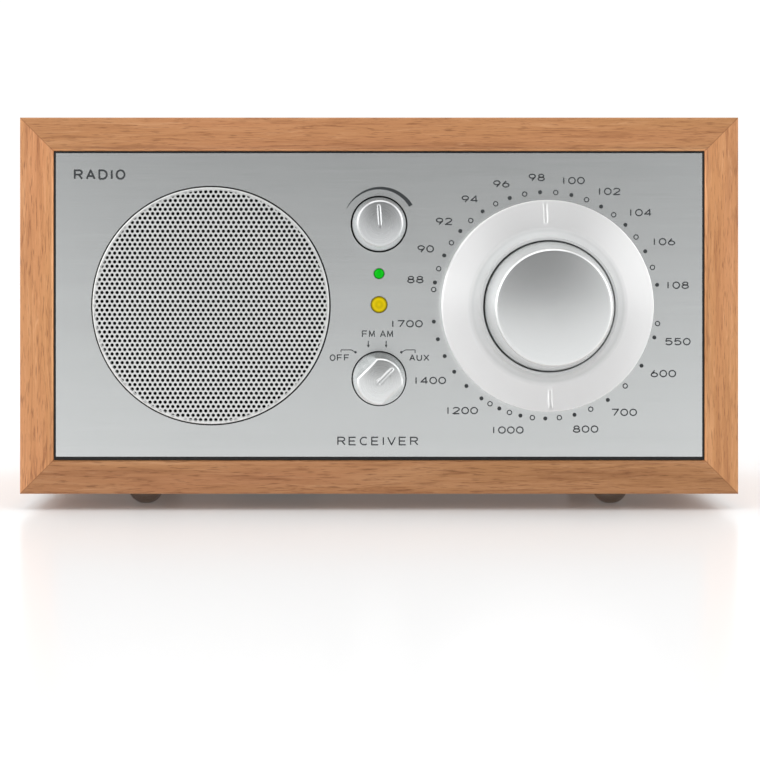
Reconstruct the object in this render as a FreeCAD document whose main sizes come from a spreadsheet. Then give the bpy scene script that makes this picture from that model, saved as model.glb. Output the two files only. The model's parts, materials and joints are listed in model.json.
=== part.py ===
import FreeCAD, Part
import math
import os

import Sketcher
from FreeCAD import Vector

# Table radio in a wooden cabinet, in millimetres.
# Frame: +X to the right of somebody facing the radio, +Y to its rear, +Z up.
# The origin is on the surface the feet stand on, under the middle of the whole set.
# Front controls are drawn in a local frame whose +Z points out of the front, so a local
# height is the distance in front of the faceplate ("out") and a negative one is behind it.

SIZES = {
    "cabinet_wide": 213.0,
    "cabinet_tall": 111.6,
    "cabinet_deep": 110.0,
    "cabinet_wall": 10.0,
    "cabinet_rear": 66.5,
    "feet_tall": 4.9,
    "feet_radius": 5.5,
    "feet_spread": 71.0,
    "feet_inset": 20.0,
    "edge_bevel": 1.2,
    "plate_recess": 1.0,
    "plate_thick": 2.0,
    "plate_side_gap": 0.4,
    "plate_bottom_gap": 0.8,
    "baffle_thick": 8.0,
    "baffle_play": 0.2,
    "block_side": 12.0,
    "block_deep": 20.0,
    "panel_thick": 3.0,
    "panel_recess": 6.0,
    "panel_play": 0.3,
    "front_centre": 60.7,
    "speaker_across": -49.9,
    "speaker_hole": 35.5,
    "grille_radius": 35.1,
    "grille_proud": 1.0,
    "grille_sheet": 0.8,
    "grille_curl": 1.3,
    "baffle_opening": 33.0,
    "frame_radius": 38.5,
    "screw_circle": 36.6,
    "volume_high": 84.9,
    "volume_hole": 8.45,
    "volume_base": 8.1,
    "volume_face": 6.35,
    "mode_high": 39.05,
    "mode_hole": 8.2,
    "mode_base": 7.9,
    "mode_face": 6.3,
    "mode_flat": 5.3,
    "mode_flat_foot": 7.7,
    "knob_out": 15.0,
    "knob_dome": 0.4,
    "knob_bevel": 0.45,
    "knob_wall": 1.3,
    "knob_hollow": 1.6,
    "bore_end": 4.0,
    "groove_wide": 1.3,
    "groove_deep": 0.8,
    "shaft_radius": 3.0,
    "running_gap": 0.05,
    "bushing_radius": 3.5,
    "nut_flats": 10.0,
    "nut_thick": 1.8,
    "tuning_across": 49.5,
    "tuning_high": 60.8,
    "tuning_base": 18.9,
    "tuning_face": 16.3,
    "tuning_out": 24.0,
    "tuning_dome": 0.8,
    "tuning_low": 3.9,
    "ring_radius": 31.1,
    "ring_out": 6.5,
    "ring_inner": 22.8,
    "collar_radius": 19.3,
    "collar_out": 10.5,
    "hub_radius": 5.5,
    "gear_module": 0.5,
    "gear_wide": 4.0,
    "sun_teeth": 12,
    "planet_teeth": 18,
    "internal_teeth": 48,
    "pin_radius": 0.75,
    "power_led_high": 70.2,
    "power_led_radius": 1.55,
    "tuning_led_high": 61.0,
    "tuning_led_radius": 2.45,
    "port_across": -31.0,
    "port_back": 2.0,
    "port_radius": 12.5,
    "port_wall": 2.0,
    "port_tall": 29.0,
    "board_under": 22.0,
    "board_thick": 1.6,
}

DIAL_LEAN = 1.5          # degrees that the dial's marks lean to the left as it stands
VOLUME_LEAN = 4.0        # degrees that the volume mark leans to the left
MODE_TURN = -45.0        # the selector stands at its last position, clockwise from the top

UPRIGHT = FreeCAD.Rotation()
FORWARD = FreeCAD.Rotation(Vector(1, 0, 0), 90)
REARWARD = FreeCAD.Rotation(Vector(0, 1, 1), 180)

doc = FreeCAD.newDocument("table_radio")
sheet = doc.addObject("Spreadsheet::Sheet", "dims")
for row, (name, value) in enumerate(SIZES.items(), 1):
    sheet.set(f"A{row}", name)
    sheet.set(f"B{row}", str(value))
    sheet.setAlias(f"B{row}", name)
doc.recompute()

PLATE_FRONT = "(dims.cabinet_rear - dims.cabinet_deep + dims.plate_recess)"
INNER_HALF = "(dims.cabinet_wide / 2 - dims.cabinet_wall)"
INNER_LOW = "(dims.feet_tall + dims.cabinet_wall)"
INNER_HIGH = "(dims.feet_tall + dims.cabinet_tall - dims.cabinet_wall)"
PANEL_BACK = "(dims.cabinet_rear - dims.panel_recess)"
BOARD_TOP = "(dims.board_under + dims.board_thick)"

nodes = []


def size(expression):
    """The value of a sheet expression, as a plain number."""
    return float(sheet.evalExpression(str(expression).replace("dims.", "")))


def place(item, across, back, high, rotation=UPRIGHT):
    """Put an object at a point given by three expressions, turned by a fixed rotation."""
    item.Placement = FreeCAD.Placement(Vector(), rotation)
    for axis, expression in zip("xyz", (across, back, high)):
        item.setExpression(f"Placement.Base.{axis}", str(expression))


def register(item, label):
    """Name a finished sub-part: its label is its file's name."""
    item.Label = label
    nodes.append(item)
    return item


# ---------------------------------------------------------------- sketched bodies

def new_body(label, across="0", back="0", high="0", rotation=UPRIGHT):
    body = doc.addObject("PartDesign::Body", label)
    place(body, across, back, high, rotation)
    return register(body, label)


def new_sketch(body, plane="XY_Plane", lift="0", turn=0.0, about=(0, 0, 1)):
    """An empty sketch on one of the body's own origin planes, raised by lift and turned."""
    sketch = body.newObject("Sketcher::SketchObject", body.Label + "_sketch")
    base = next(item for item in body.Origin.OriginFeatures if item.Role == plane)
    sketch.AttachmentSupport = [(base, "")]
    sketch.MapMode = "FlatFace"
    sketch.AttachmentOffset = FreeCAD.Placement(Vector(), FreeCAD.Rotation(Vector(*about), turn))
    sketch.setExpression("AttachmentOffset.Base.z", str(lift))
    return sketch


def fix(sketch, kind, expression, *where):
    """Constrain a length of the sketch and bind it to the sheet."""
    index = sketch.addConstraint(Sketcher.Constraint(kind, *where, size(expression)))
    sketch.setExpression(f"Constraints[{index}]", str(expression))


def fix_point(sketch, geometry, end, across, up):
    fix(sketch, "DistanceX", across, -1, 1, geometry, end)
    fix(sketch, "DistanceY", up, -1, 1, geometry, end)


def draw_outline(sketch, points):
    """A closed outline of straight lines through points given as pairs of expressions."""
    spots = [Vector(size(across), size(up), 0) for across, up in points]
    first = sketch.GeometryCount
    count = len(points)
    for start, end in zip(spots, spots[1:] + spots[:1]):
        sketch.addGeometry(Part.LineSegment(start, end))
    for index in range(count):
        after = (index + 1) % count
        sketch.addConstraint(Sketcher.Constraint("Coincident", first + index, 2, first + after, 1))
    for index, (across, up) in enumerate(points):
        fix_point(sketch, first + index, 1, across, up)


def draw_rectangle(sketch, left, low, right, high):
    draw_outline(sketch, [(left, low), (right, low), (right, high), (left, high)])


def draw_circle(sketch, across, up, radius):
    middle = Vector(size(across), size(up), 0)
    index = sketch.addGeometry(Part.Circle(middle, Vector(0, 0, 1), size(radius)))
    fix_point(sketch, index, 3, across, up)
    fix(sketch, "Radius", radius, index)


def pad(body, sketch, length):
    feature = body.newObject("PartDesign::Pad", body.Label + "_pad")
    feature.Profile = sketch
    feature.setExpression("Length", str(length))
    return feature


def pocket(body, sketch, depth):
    """Cut downwards, against the sketch's normal."""
    feature = body.newObject("PartDesign::Pocket", body.Label + "_pocket")
    feature.Profile = sketch
    feature.setExpression("Length", str(depth))
    return feature


def turned_body(label, points, across, high, back=PLATE_FRONT, rotation=FORWARD):
    """A body turned about its local Z axis from (radius, out) points."""
    body = new_body(label, across, back, high, rotation)
    sketch = new_sketch(body, "XZ_Plane")
    draw_outline(sketch, points)
    feature = body.newObject("PartDesign::Revolution", label + "_turning")
    feature.Profile = sketch
    feature.ReferenceAxis = (sketch, ["V_Axis"])
    feature.Angle = 360
    return body


def drawn_plate(label, outline, holes, thick, across="0", back="0", high="0", rotation=FORWARD):
    """A flat plate: a straight-sided outline with round holes (across, up, radius)."""
    body = new_body(label, across, back, high, rotation)
    sketch = new_sketch(body)
    draw_outline(sketch, outline)
    for hole in holes:
        draw_circle(sketch, *hole)
    pad(body, sketch, thick)
    return body


# ---------------------------------------------------------------- plain solids

def box_between(low, high):
    """A box between two opposite corners."""
    extent = [b - a for a, b in zip(low, high)]
    return Part.makeBox(*extent, Vector(*low))


def rod(radius, start, end):
    """A cylinder between two points."""
    axis = Vector(*end) - Vector(*start)
    return Part.makeCylinder(radius, axis.Length, Vector(*start), axis)


def tube(outer, inner, low, high):
    """A round tube along local Z."""
    return rod(outer, (0, 0, low), (0, 0, high)).cut(rod(inner, (0, 0, low), (0, 0, high)))


def turned(start, *steps):
    """A solid turned about Z. A step is the next (radius, z) point, or a (middle, end) arc."""
    edges = []
    here = Vector(start[0], 0, start[1])
    for step in steps + (start,):
        if isinstance(step[0], tuple):
            middle, end = (Vector(radius, 0, z) for radius, z in step)
            edges.append(Part.Arc(here, middle, end).toShape())
        else:
            end = Vector(step[0], 0, step[1])
            edges.append(Part.LineSegment(here, end).toShape())
        here = end
    return Part.Face(Part.Wire(edges)).revolve(Vector(), Vector(0, 0, 1), 360)


def crown(radius, edge, peak):
    """The middle of the ball-shaped arc from (radius, edge) to the axis at height peak."""
    rise = peak - edge
    ball = (radius ** 2 + rise ** 2) / (2 * rise)
    half = math.asin(radius / abs(ball)) / 2
    return (abs(ball) * math.sin(half), peak - ball + ball * math.cos(half))


def fused(shapes):
    first, *others = shapes
    return first.fuse(others).removeSplitter() if others else first


def shape_node(label, shape, across=0, back=0, high=0, rotation=UPRIGHT):
    """A sub-part whose shape is worked out here. Its place is set after its shape."""
    item = doc.addObject("Part::Feature", label)
    item.Shape = shape
    item.Placement = FreeCAD.Placement(Vector(size(across), size(back), size(high)), rotation)
    return register(item, label)


def front_node(label, shape, across, high):
    """A sub-part drawn in the front's local frame, its origin on the faceplate's face."""
    return shape_node(label, shape, across, PLATE_FRONT, high, FORWARD)


def rear_node(label, shape, across, high):
    """A sub-part drawn from behind, so that local +X is the radio's left. Its origin is on
    the rear panel's outer face."""
    return shape_node(label, shape, f"-({across})", PANEL_BACK, high, REARWARD)


# ---------------------------------------------------------------- cabinet

def cabinet_boards():
    """Four boards mitred at the corners, with a small bevel round the front opening."""
    half = "dims.cabinet_wide / 2"
    low, high = "dims.feet_tall", "(dims.feet_tall + dims.cabinet_tall)"
    outlines = {
        "cabinet_top": [(f"-{half}", high), (f"-{INNER_HALF}", INNER_HIGH),
                        (INNER_HALF, INNER_HIGH), (half, high)],
        "cabinet_bottom": [(f"-{half}", low), (half, low),
                           (INNER_HALF, INNER_LOW), (f"-{INNER_HALF}", INNER_LOW)],
        "cabinet_left": [(f"-{half}", low), (f"-{INNER_HALF}", INNER_LOW),
                         (f"-{INNER_HALF}", INNER_HIGH), (f"-{half}", high)],
        "cabinet_right": [(half, low), (half, high),
                          (INNER_HALF, INNER_HIGH), (INNER_HALF, INNER_LOW)],
    }
    for label, outline in outlines.items():
        body = new_body(label, "0", "dims.cabinet_rear", "0", FORWARD)
        sketch = new_sketch(body)
        draw_outline(sketch, outline)
        pad(body, sketch, "dims.cabinet_deep")
        if label == "cabinet_bottom":
            cut_port_hole(body)
        bevel_opening(body)


def cut_port_hole(body):
    """The bass port's hole through the bottom board."""
    sketch = new_sketch(body, "XZ_Plane", "-dims.feet_tall")
    draw_circle(sketch, "dims.port_across", "dims.cabinet_rear - dims.port_back",
                "dims.port_radius + dims.port_wall")
    pocket(body, sketch, "dims.cabinet_wall")


def bevel_opening(body):
    """A frame-shaped tool with sloping sides bevels the inner front edge of a board."""
    bevel = "dims.edge_bevel"
    loft = body.newObject("PartDesign::SubtractiveLoft", body.Label + "_bevel")
    faces = []
    for lift, grow in ((f"dims.cabinet_deep - {bevel}", "0"), ("dims.cabinet_deep", bevel)):
        sketch = new_sketch(body, "XY_Plane", lift)
        draw_rectangle(sketch, f"-{INNER_HALF} - {grow}", f"{INNER_LOW} - {grow}",
                       f"{INNER_HALF} + {grow}", f"{INNER_HIGH} + {grow}")
        faces.append(sketch)
    loft.Profile = faces[0]
    loft.Sections = [faces[1]]
    body.Tip = loft


def corner_blocks():
    """Eight glue blocks: four hold the baffle in front, four take the rear panel's screws."""
    side, deep = size("dims.block_side"), size("dims.block_deep")
    half, low, high = size(INNER_HALF), size(INNER_LOW), size(INNER_HIGH)
    pilot_radius, pilot_deep = 1.5, 12.0
    baffle_back = size(f"{PLATE_FRONT} + dims.plate_thick + dims.baffle_thick")
    panel_front = size(f"{PANEL_BACK} - dims.panel_thick")
    blocks = []
    for left in (-half, half - side):
        for bottom in (low, high - side):
            for front in (baffle_back, panel_front - deep):
                block = box_between((left, front, bottom),
                                    (left + side, front + deep, bottom + side))
                if front > 0:
                    middle = (left + side / 2, bottom + side / 2)
                    pilot = rod(pilot_radius, (middle[0], panel_front - pilot_deep, middle[1]),
                                (middle[0], panel_front, middle[1]))
                    block = block.cut(pilot)
                blocks.append(block)
    shape_node("corner_blocks", Part.makeCompound(blocks))


def feet():
    """Four clear domed feet under the bottom board."""
    tall, radius = size("dims.feet_tall"), size("dims.feet_radius")
    flat = 2.0
    shoulder = (radius * 0.8, tall * 0.36)
    dome = turned((0, tall), (0, 0), (flat, 0), (shoulder, (radius, tall)))
    front = size("dims.cabinet_rear - dims.cabinet_deep + dims.feet_inset")
    back = size("dims.cabinet_rear - dims.feet_inset")
    copies = []
    for across in (-size("dims.feet_spread"), size("dims.feet_spread")):
        for depth in (front, back):
            foot = dome.copy()
            foot.translate(Vector(across, depth, 0))
            copies.append(foot)
    shape_node("feet", Part.makeCompound(copies))


def bass_port_tube():
    """The port's tube: a flange against the bottom board and a flared mouth."""
    inner, tall = size("dims.port_radius"), size("dims.port_tall")
    wall, flange, lip = size("dims.port_wall"), 4.5, 1.0
    flare, flare_tall = 2.0, 1.5
    waist = (inner + 0.3 * flare, 0.0)
    shape = turned((inner + wall, 0), (inner + wall, tall), (inner, tall), (inner, flare_tall),
                   (waist, (inner + flare, -lip)), (inner + flange, -lip), (inner + flange, 0))
    shape_node("bass_port_tube", shape, "dims.port_across", "dims.port_back", "dims.feet_tall")


def faceplate():
    """The flat faceplate with its holes for the grille, both small knobs, LEDs and tuning hub."""
    side = f"({INNER_HALF} - dims.plate_side_gap)"
    low = f"({INNER_LOW} + dims.plate_bottom_gap)"
    high = f"({INNER_HIGH} - dims.plate_side_gap)"
    holes = [
        ("dims.speaker_across", "dims.front_centre", "dims.speaker_hole"),
        ("dims.tuning_across", "dims.tuning_high", "dims.hub_radius + 0.4"),
        ("0", "dims.volume_high", "dims.volume_hole"),
        ("0", "dims.mode_high", "dims.mode_hole"),
        ("0", "dims.power_led_high", "dims.power_led_radius + 0.1"),
        ("0", "dims.tuning_led_high", "dims.tuning_led_radius + 0.1"),
    ]
    outline = [(f"-{side}", low), (side, low), (side, high), (f"-{side}", high)]
    drawn_plate("faceplate", outline, holes, "dims.plate_thick",
                back=f"{PLATE_FRONT} + dims.plate_thick")


def front_baffle():
    """The wooden baffle behind the faceplate, which carries the speaker and the controls."""
    side = f"({INNER_HALF} - dims.baffle_play)"
    low, high = f"({INNER_LOW} + dims.baffle_play)", f"({INNER_HIGH} - dims.baffle_play)"
    holes = [
        ("dims.speaker_across", "dims.front_centre", "dims.baffle_opening"),
        ("dims.tuning_across", "dims.tuning_high", "dims.hub_radius + 0.4"),
        ("0", "dims.volume_high", "dims.bushing_radius + 0.1"),
        ("0", "dims.mode_high", "dims.bushing_radius + 0.1"),
        ("0", "dims.power_led_high", "dims.power_led_radius + 0.3"),
        ("0", "dims.tuning_led_high", "dims.tuning_led_radius + 0.3"),
    ]
    outline = [(f"-{side}", low), (side, low), (side, high), (f"-{side}", high)]
    drawn_plate("front_baffle", outline, holes, "dims.baffle_thick",
                back=f"{PLATE_FRONT} + dims.plate_thick + dims.baffle_thick")


# ---------------------------------------------------------------- speaker

def speaker_grille():
    """A pressed sheet disc whose edge is rolled back. Its fine perforation is left plain here."""
    radius, curl = size("dims.grille_radius"), size("dims.grille_curl")
    front, sheet_thick = size("dims.grille_proud"), size("dims.grille_sheet")
    back = -size("dims.plate_thick")
    bend = 1 - math.sqrt(0.5)
    inner = radius - sheet_thick
    shape = turned(
        (0, front), (radius - curl, front),
        ((radius - curl * bend, front - curl * bend), (radius, front - curl)),
        (radius, back), (inner, back), (inner, front - curl),
        ((inner - (curl - sheet_thick) * bend, front - sheet_thick - (curl - sheet_thick) * bend),
         (radius - curl, front - sheet_thick)),
        (0, front - sheet_thick))
    front_node("speaker_grille", shape, "dims.speaker_across", "dims.front_centre")


def speaker_node(label, shape):
    front_node(label, shape, "dims.speaker_across", "dims.front_centre")


# Heights along the speaker's axis, from the gasket against the baffle back to the magnet.
GASKET_FRONT = -10.0
FLANGE_FRONT = -11.2
FLANGE_BACK = -12.4
SPIDER_FRONT = -28.4
BASKET_FLOOR = -30.0
BASKET_BACK = -30.8
MAGNET_FRONT = -33.8
MAGNET_BACK = -42.8
MOTOR_BACK = -45.8

COIL_RADIUS = 7.4
CONE_RIM = 28.0
GASKET_INNER = 34.6
SPEAKER_SCREWS = 4
SCREW_HOLE = 1.3


def screw_spots():
    """The speaker screws' places round the speaker's axis."""
    circle = size("dims.screw_circle")
    angles = [math.radians(360 / SPEAKER_SCREWS * (index + 0.5)) for index in range(SPEAKER_SCREWS)]
    return [(circle * math.cos(angle), circle * math.sin(angle)) for angle in angles]


def basket_shape():
    """A pressed basket: flange, sloping side with six windows, and a floor with the motor's hole."""
    flange, side_top, side_low, hole = size("dims.frame_radius"), 33.2, 20.0, 8.0
    metal = BASKET_FLOOR - BASKET_BACK
    shape = turned((side_top, FLANGE_FRONT), (flange, FLANGE_FRONT), (flange, FLANGE_BACK),
                   (side_top + 1.2, FLANGE_BACK), (side_low + 0.4, BASKET_BACK),
                   (hole, BASKET_BACK), (hole, BASKET_FLOOR), (side_low, BASKET_FLOOR),
                   (side_top, FLANGE_BACK - metal / 4))
    windows = 6
    window = box_between((side_low + 1.5, -6.0, BASKET_FLOOR + 1.5),
                         (flange + 1.5, 6.0, FLANGE_BACK - 1.2))
    for index in range(windows):
        opening = window.copy()
        opening.rotate(Vector(), Vector(0, 0, 1), 360 / windows * index)
        shape = shape.cut(opening)
    for x, y in screw_spots():
        shape = shape.cut(rod(SCREW_HOLE, (x, y, FLANGE_BACK - 0.6), (x, y, FLANGE_FRONT + 0.2)))
    return shape


def speaker_frame():
    """The basket, its gasket against the baffle and the four screws that hold it there."""
    head, head_tall, shank, tip = 1.8, 1.2, 1.2, -6.0
    screws = []
    for x, y in screw_spots():
        cap = rod(head, (x, y, FLANGE_BACK - head_tall), (x, y, FLANGE_BACK))
        screws.append(fused([cap, rod(shank, (x, y, FLANGE_BACK), (x, y, tip))]))
    gasket = tube(size("dims.frame_radius"), GASKET_INNER, FLANGE_FRONT, GASKET_FRONT)
    for screw in screws:
        gasket = gasket.cut(screw)
    speaker_node("speaker_basket", basket_shape())
    speaker_node("speaker_gasket", gasket)
    speaker_node("speaker_screws", Part.makeCompound(screws))
    cut_screw_holes(-tip)


def cut_screw_holes(tip_depth):
    """The speaker screws' holes in the baffle, a little deeper than the screws."""
    body = doc.getObject("front_baffle")
    sketch = new_sketch(body)
    for x, y in screw_spots():
        draw_circle(sketch, f"dims.speaker_across + {x:.6f}", f"dims.front_centre + {y:.6f}",
                    "1.25")
    deep = f"dims.plate_thick + dims.baffle_thick - {tip_depth} + 0.2"
    pocket(body, sketch, deep).Reversed = True


def speaker_motor():
    """Top plate, ring magnet, and the back plate with its pole."""
    plate, magnet, magnet_bore, pole = 18.0, 21.0, 10.0, 6.3
    gap = COIL_RADIUS + 0.2
    speaker_node("magnet_top_plate", tube(plate, gap, MAGNET_FRONT, BASKET_BACK))
    speaker_node("speaker_magnet", tube(magnet, magnet_bore, MAGNET_BACK, MAGNET_FRONT))
    back = rod(plate, (0, 0, MOTOR_BACK), (0, 0, MAGNET_BACK))
    centre = rod(pole, (0, 0, MAGNET_BACK), (0, 0, BASKET_BACK))
    speaker_node("magnet_pole", fused([back, centre]))


def speaker_cone():
    """The paper cone with its dust cap and voice coil, which move together."""
    neck, paper = -26.6, 0.6
    coil_wall, coil_back = 0.6, -33.6
    speaker_node("speaker_cone", turned(
        (COIL_RADIUS, neck), (CONE_RIM, FLANGE_FRONT - paper), (CONE_RIM, FLANGE_FRONT),
        (COIL_RADIUS, neck + paper)))
    edge, low, peak, cap_thick = 9.0, -24.83, -21.6, 0.4
    under = (edge - 0.5, low - 0.36)
    inner_peak = peak - cap_thick
    speaker_node("dust_cap", turned((0, peak), (crown(edge, low, peak), (edge, low)), under,
                                    (crown(*under, inner_peak), (0, inner_peak))))
    speaker_node("voice_coil", tube(COIL_RADIUS, COIL_RADIUS - coil_wall, coil_back, neck + paper))


def speaker_suspension():
    """The half-round surround and the spider, which flex as the cone moves."""
    cloth = 0.4
    low, top = FLANGE_FRONT, FLANGE_FRONT + cloth
    middle, roll = 30.2, 2.2
    surround = turned(
        (CONE_RIM, low), ((middle, low + roll), (middle + roll, low)), (GASKET_INNER - 0.2, low),
        (GASKET_INNER - 0.2, top), (middle + roll + cloth, top),
        ((middle, top + roll + 0.2), (middle - roll - cloth, top)), (CONE_RIM - 1.0, top),
        (CONE_RIM - 1.0, low))
    speaker_node("cone_surround", surround)
    foot_inner, foot_outer = 16.5, 18.5
    under = SPIDER_FRONT - cloth
    spider = turned((COIL_RADIUS, under), (foot_inner, under), (foot_inner, BASKET_FLOOR),
                    (foot_outer, BASKET_FLOOR), (foot_outer, SPIDER_FRONT),
                    (COIL_RADIUS, SPIDER_FRONT))
    speaker_node("cone_spider", spider)


# ---------------------------------------------------------------- volume and mode

CONTROL_LOW = "-1.0"     # the skirts end just behind the faceplate's front


def small_knob_points(base, face):
    """The outline of a small knob below its domed face: bevel, tapered skirt, hollow and boss."""
    edge = "(dims.knob_out - dims.knob_dome)"
    return [
        ("0", edge),
        (face, edge),
        (f"{face} + dims.knob_bevel", f"{edge} - dims.knob_bevel"),
        (base, "1.0"),
        (base, CONTROL_LOW),
        (f"{base} - dims.knob_wall", CONTROL_LOW),
        (f"{base} - dims.knob_wall", "dims.knob_hollow"),
        ("dims.shaft_radius", "dims.knob_hollow"),
        ("dims.shaft_radius", "dims.knob_out - dims.bore_end"),
        ("0", "dims.knob_out - dims.bore_end"),
    ]


def add_dome(body, face):
    """A shallow ball-shaped dome on a small knob's face."""
    edge = "(dims.knob_out - dims.knob_dome)"
    ball = f"(({face}) ^ 2 + dims.knob_dome ^ 2) / (2 * dims.knob_dome)"
    low, top, radius = size(edge), size("dims.knob_out"), size(face)
    sketch = new_sketch(body, "XZ_Plane")
    middle = Vector(0, top - size(ball), 0)
    start = math.atan2(low - middle.y, radius)
    circle = Part.Circle(middle, Vector(0, 0, 1), size(ball))
    arc = sketch.addGeometry(Part.ArcOfCircle(circle, start, math.pi / 2))
    down = sketch.addGeometry(Part.LineSegment(Vector(0, top, 0), Vector(0, low, 0)))
    across = sketch.addGeometry(Part.LineSegment(Vector(0, low, 0), Vector(radius, low, 0)))
    for first, second in (((arc, 2), (down, 1)), ((down, 2), (across, 1)), ((across, 2), (arc, 1))):
        sketch.addConstraint(Sketcher.Constraint("Coincident", *first, *second))
    fix_point(sketch, down, 1, "0", "dims.knob_out")
    fix_point(sketch, down, 2, "0", edge)
    fix_point(sketch, across, 2, face, edge)
    fix(sketch, "Radius", ball, arc)
    feature = body.newObject("PartDesign::Revolution", body.Label + "_dome")
    feature.Profile = sketch
    feature.ReferenceAxis = (sketch, ["V_Axis"])
    feature.Angle = 360


def cut_pointer(body, face, turn):
    """The pointer groove across the knob's face, from the rim to just past the centre."""
    sketch = new_sketch(body, "XY_Plane", "dims.knob_out", turn)
    half = "dims.groove_wide / 2"
    draw_rectangle(sketch, f"-{half}", "-0.9", half, f"{face} - 0.6")
    pocket(body, sketch, "dims.knob_dome + dims.groove_deep")


def cut_flats(body):
    """Two flats across the selector's pointer, sloping out from its face to its base."""
    outside = "dims.mode_base + 1"
    for side in ("", "-"):
        sketch = new_sketch(body, "XZ_Plane", "0", MODE_TURN, about=(0, 1, 0))
        outline = [(f"{side}dims.mode_flat", "dims.knob_out"),
                   (f"{side}dims.mode_flat_foot", "1.0"),
                   (f"{side}({outside})", "1.0"),
                   (f"{side}({outside})", "dims.knob_out")]
        draw_outline(sketch, outline if side else outline[::-1])
        cut = pocket(body, sketch, "2 * (dims.mode_base + 1)")
        cut.Midplane = True


def volume_set():
    body = turned_body("volume_knob", small_knob_points("dims.volume_base", "dims.volume_face"),
                       "0", "dims.volume_high")
    add_dome(body, "dims.volume_face")
    cut_pointer(body, "dims.volume_face", VOLUME_LEAN)
    control_shaft("volume_shaft", "dims.volume_high", 15.5)
    control_case("volume_control", "dims.volume_high", 8.5, 18.5, 3)


def mode_set():
    body = turned_body("mode_knob", small_knob_points("dims.mode_base", "dims.mode_face"),
                       "0", "dims.mode_high")
    add_dome(body, "dims.mode_face")
    cut_flats(body)
    cut_pointer(body, "dims.mode_face", MODE_TURN)
    control_shaft("mode_shaft", "dims.mode_high", 18.5)
    control_case("mode_switch", "dims.mode_high", 9.5, 21.5, 5)


def control_shaft(label, high, depth):
    """A plain 6 mm shaft from inside the knob to inside the control's case."""
    radius, top = size("dims.shaft_radius"), size("dims.knob_out - dims.bore_end")
    front_node(label, rod(radius, (0, 0, -depth), (0, 0, top)), "0", high)


def control_case(label, high, radius, depth, lugs):
    """A control's round case, its bushing through the baffle and its solder lugs."""
    back = -size("dims.plate_thick + dims.baffle_thick")
    bore = size("dims.shaft_radius + dims.running_gap")
    bushing_front, wall = 0.8, 2.0
    lug_half, lug_thick, lug_pitch, lug_out, lug_in = 0.6, 0.6, 3.0, 4.0, 2.5
    case = rod(radius, (0, 0, -depth), (0, 0, back))
    case = case.fuse(rod(size("dims.bushing_radius"), (0, 0, back), (0, 0, bushing_front)))
    lug_low = -depth + 1.0
    for index in range(lugs):
        shift = (index - (lugs - 1) / 2) * lug_pitch
        lug = box_between((shift - lug_half, -radius - lug_out, lug_low),
                          (shift + lug_half, -radius + lug_in, lug_low + lug_thick))
        case = case.fuse(lug)
    case = case.cut(rod(bore, (0, 0, -depth + wall), (0, 0, bushing_front)))
    front_node(label, case.removeSplitter(), "0", high)


def control_nuts():
    """The hexagon nuts that hold both controls against the baffle."""
    flats, thick = size("dims.nut_flats"), size("dims.nut_thick")
    low = -size("dims.plate_thick")
    corner = flats / math.sqrt(3)
    corners = [Vector(corner * math.cos(math.radians(60 * index)),
                      corner * math.sin(math.radians(60 * index)), low) for index in range(7)]
    nut = Part.Face(Part.makePolygon(corners)).extrude(Vector(0, 0, thick))
    nut = nut.cut(rod(size("dims.bushing_radius"), (0, 0, low), (0, 0, low + thick)))
    nuts = []
    for high in ("dims.volume_high", "dims.mode_high"):
        copy = nut.copy()
        copy.translate(Vector(0, size(high), 0))
        nuts.append(copy)
    front_node("control_nuts", Part.makeCompound(nuts), "0", "0")


# ---------------------------------------------------------------- tuning

# Heights along the dial's axis, behind the faceplate's front.
CARRIER_FRONT = -10.4
CARRIER_BACK = -11.8
SUN_LOW = -16.2
ROTOR_DISC_FRONT = -16.6
PIN_END = -18.0
HOUSING_BACK = -20.5
CAPACITOR_BACK = -42.0

CARRIER_RADIUS = 10.6
SHAFT_HOLE = 3.3
PRESSURE_ANGLE = math.radians(20)
NECK_LONG = 0.4


def tuning_node(label, shape):
    return front_node(label, shape, "dims.tuning_across", "dims.tuning_high")


def gear_outline(teeth, turn, thinning, addendum, dedendum):
    """A closed wire of straight-flanked teeth that follow the involute at three radii."""
    module = size("dims.gear_module")
    pitch = module * teeth / 2
    base = pitch * math.cos(PRESSURE_ANGLE)
    roll = math.tan(PRESSURE_ANGLE) - PRESSURE_ANGLE
    root, tip = pitch - dedendum, pitch + addendum

    def half_angle(radius):
        pressure = math.acos(min(1.0, base / radius))
        return math.pi / (2 * teeth) + roll - (math.tan(pressure) - pressure) - thinning / pitch

    flank = [(root, half_angle(max(root, base))), (pitch, half_angle(pitch)),
             (tip, half_angle(tip))]
    points = []
    for tooth in range(teeth):
        middle = math.radians(turn) + 2 * math.pi * tooth / teeth
        for radius, angle in flank:
            points.append((radius, middle - angle))
        for radius, angle in reversed(flank):
            points.append((radius, middle + angle))
    corners = [Vector(radius * math.cos(angle), radius * math.sin(angle), 0)
               for radius, angle in points]
    return Part.makePolygon(corners + corners[:1])


def gear_solid(teeth, turn, low, wide):
    """An external gear between two heights."""
    thinning, addendum, dedendum = 0.03, 0.42, 0.6
    outline = gear_outline(teeth, turn, thinning, addendum, dedendum)
    outline.translate(Vector(0, 0, low))
    return Part.Face(outline).extrude(Vector(0, 0, wide))


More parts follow.
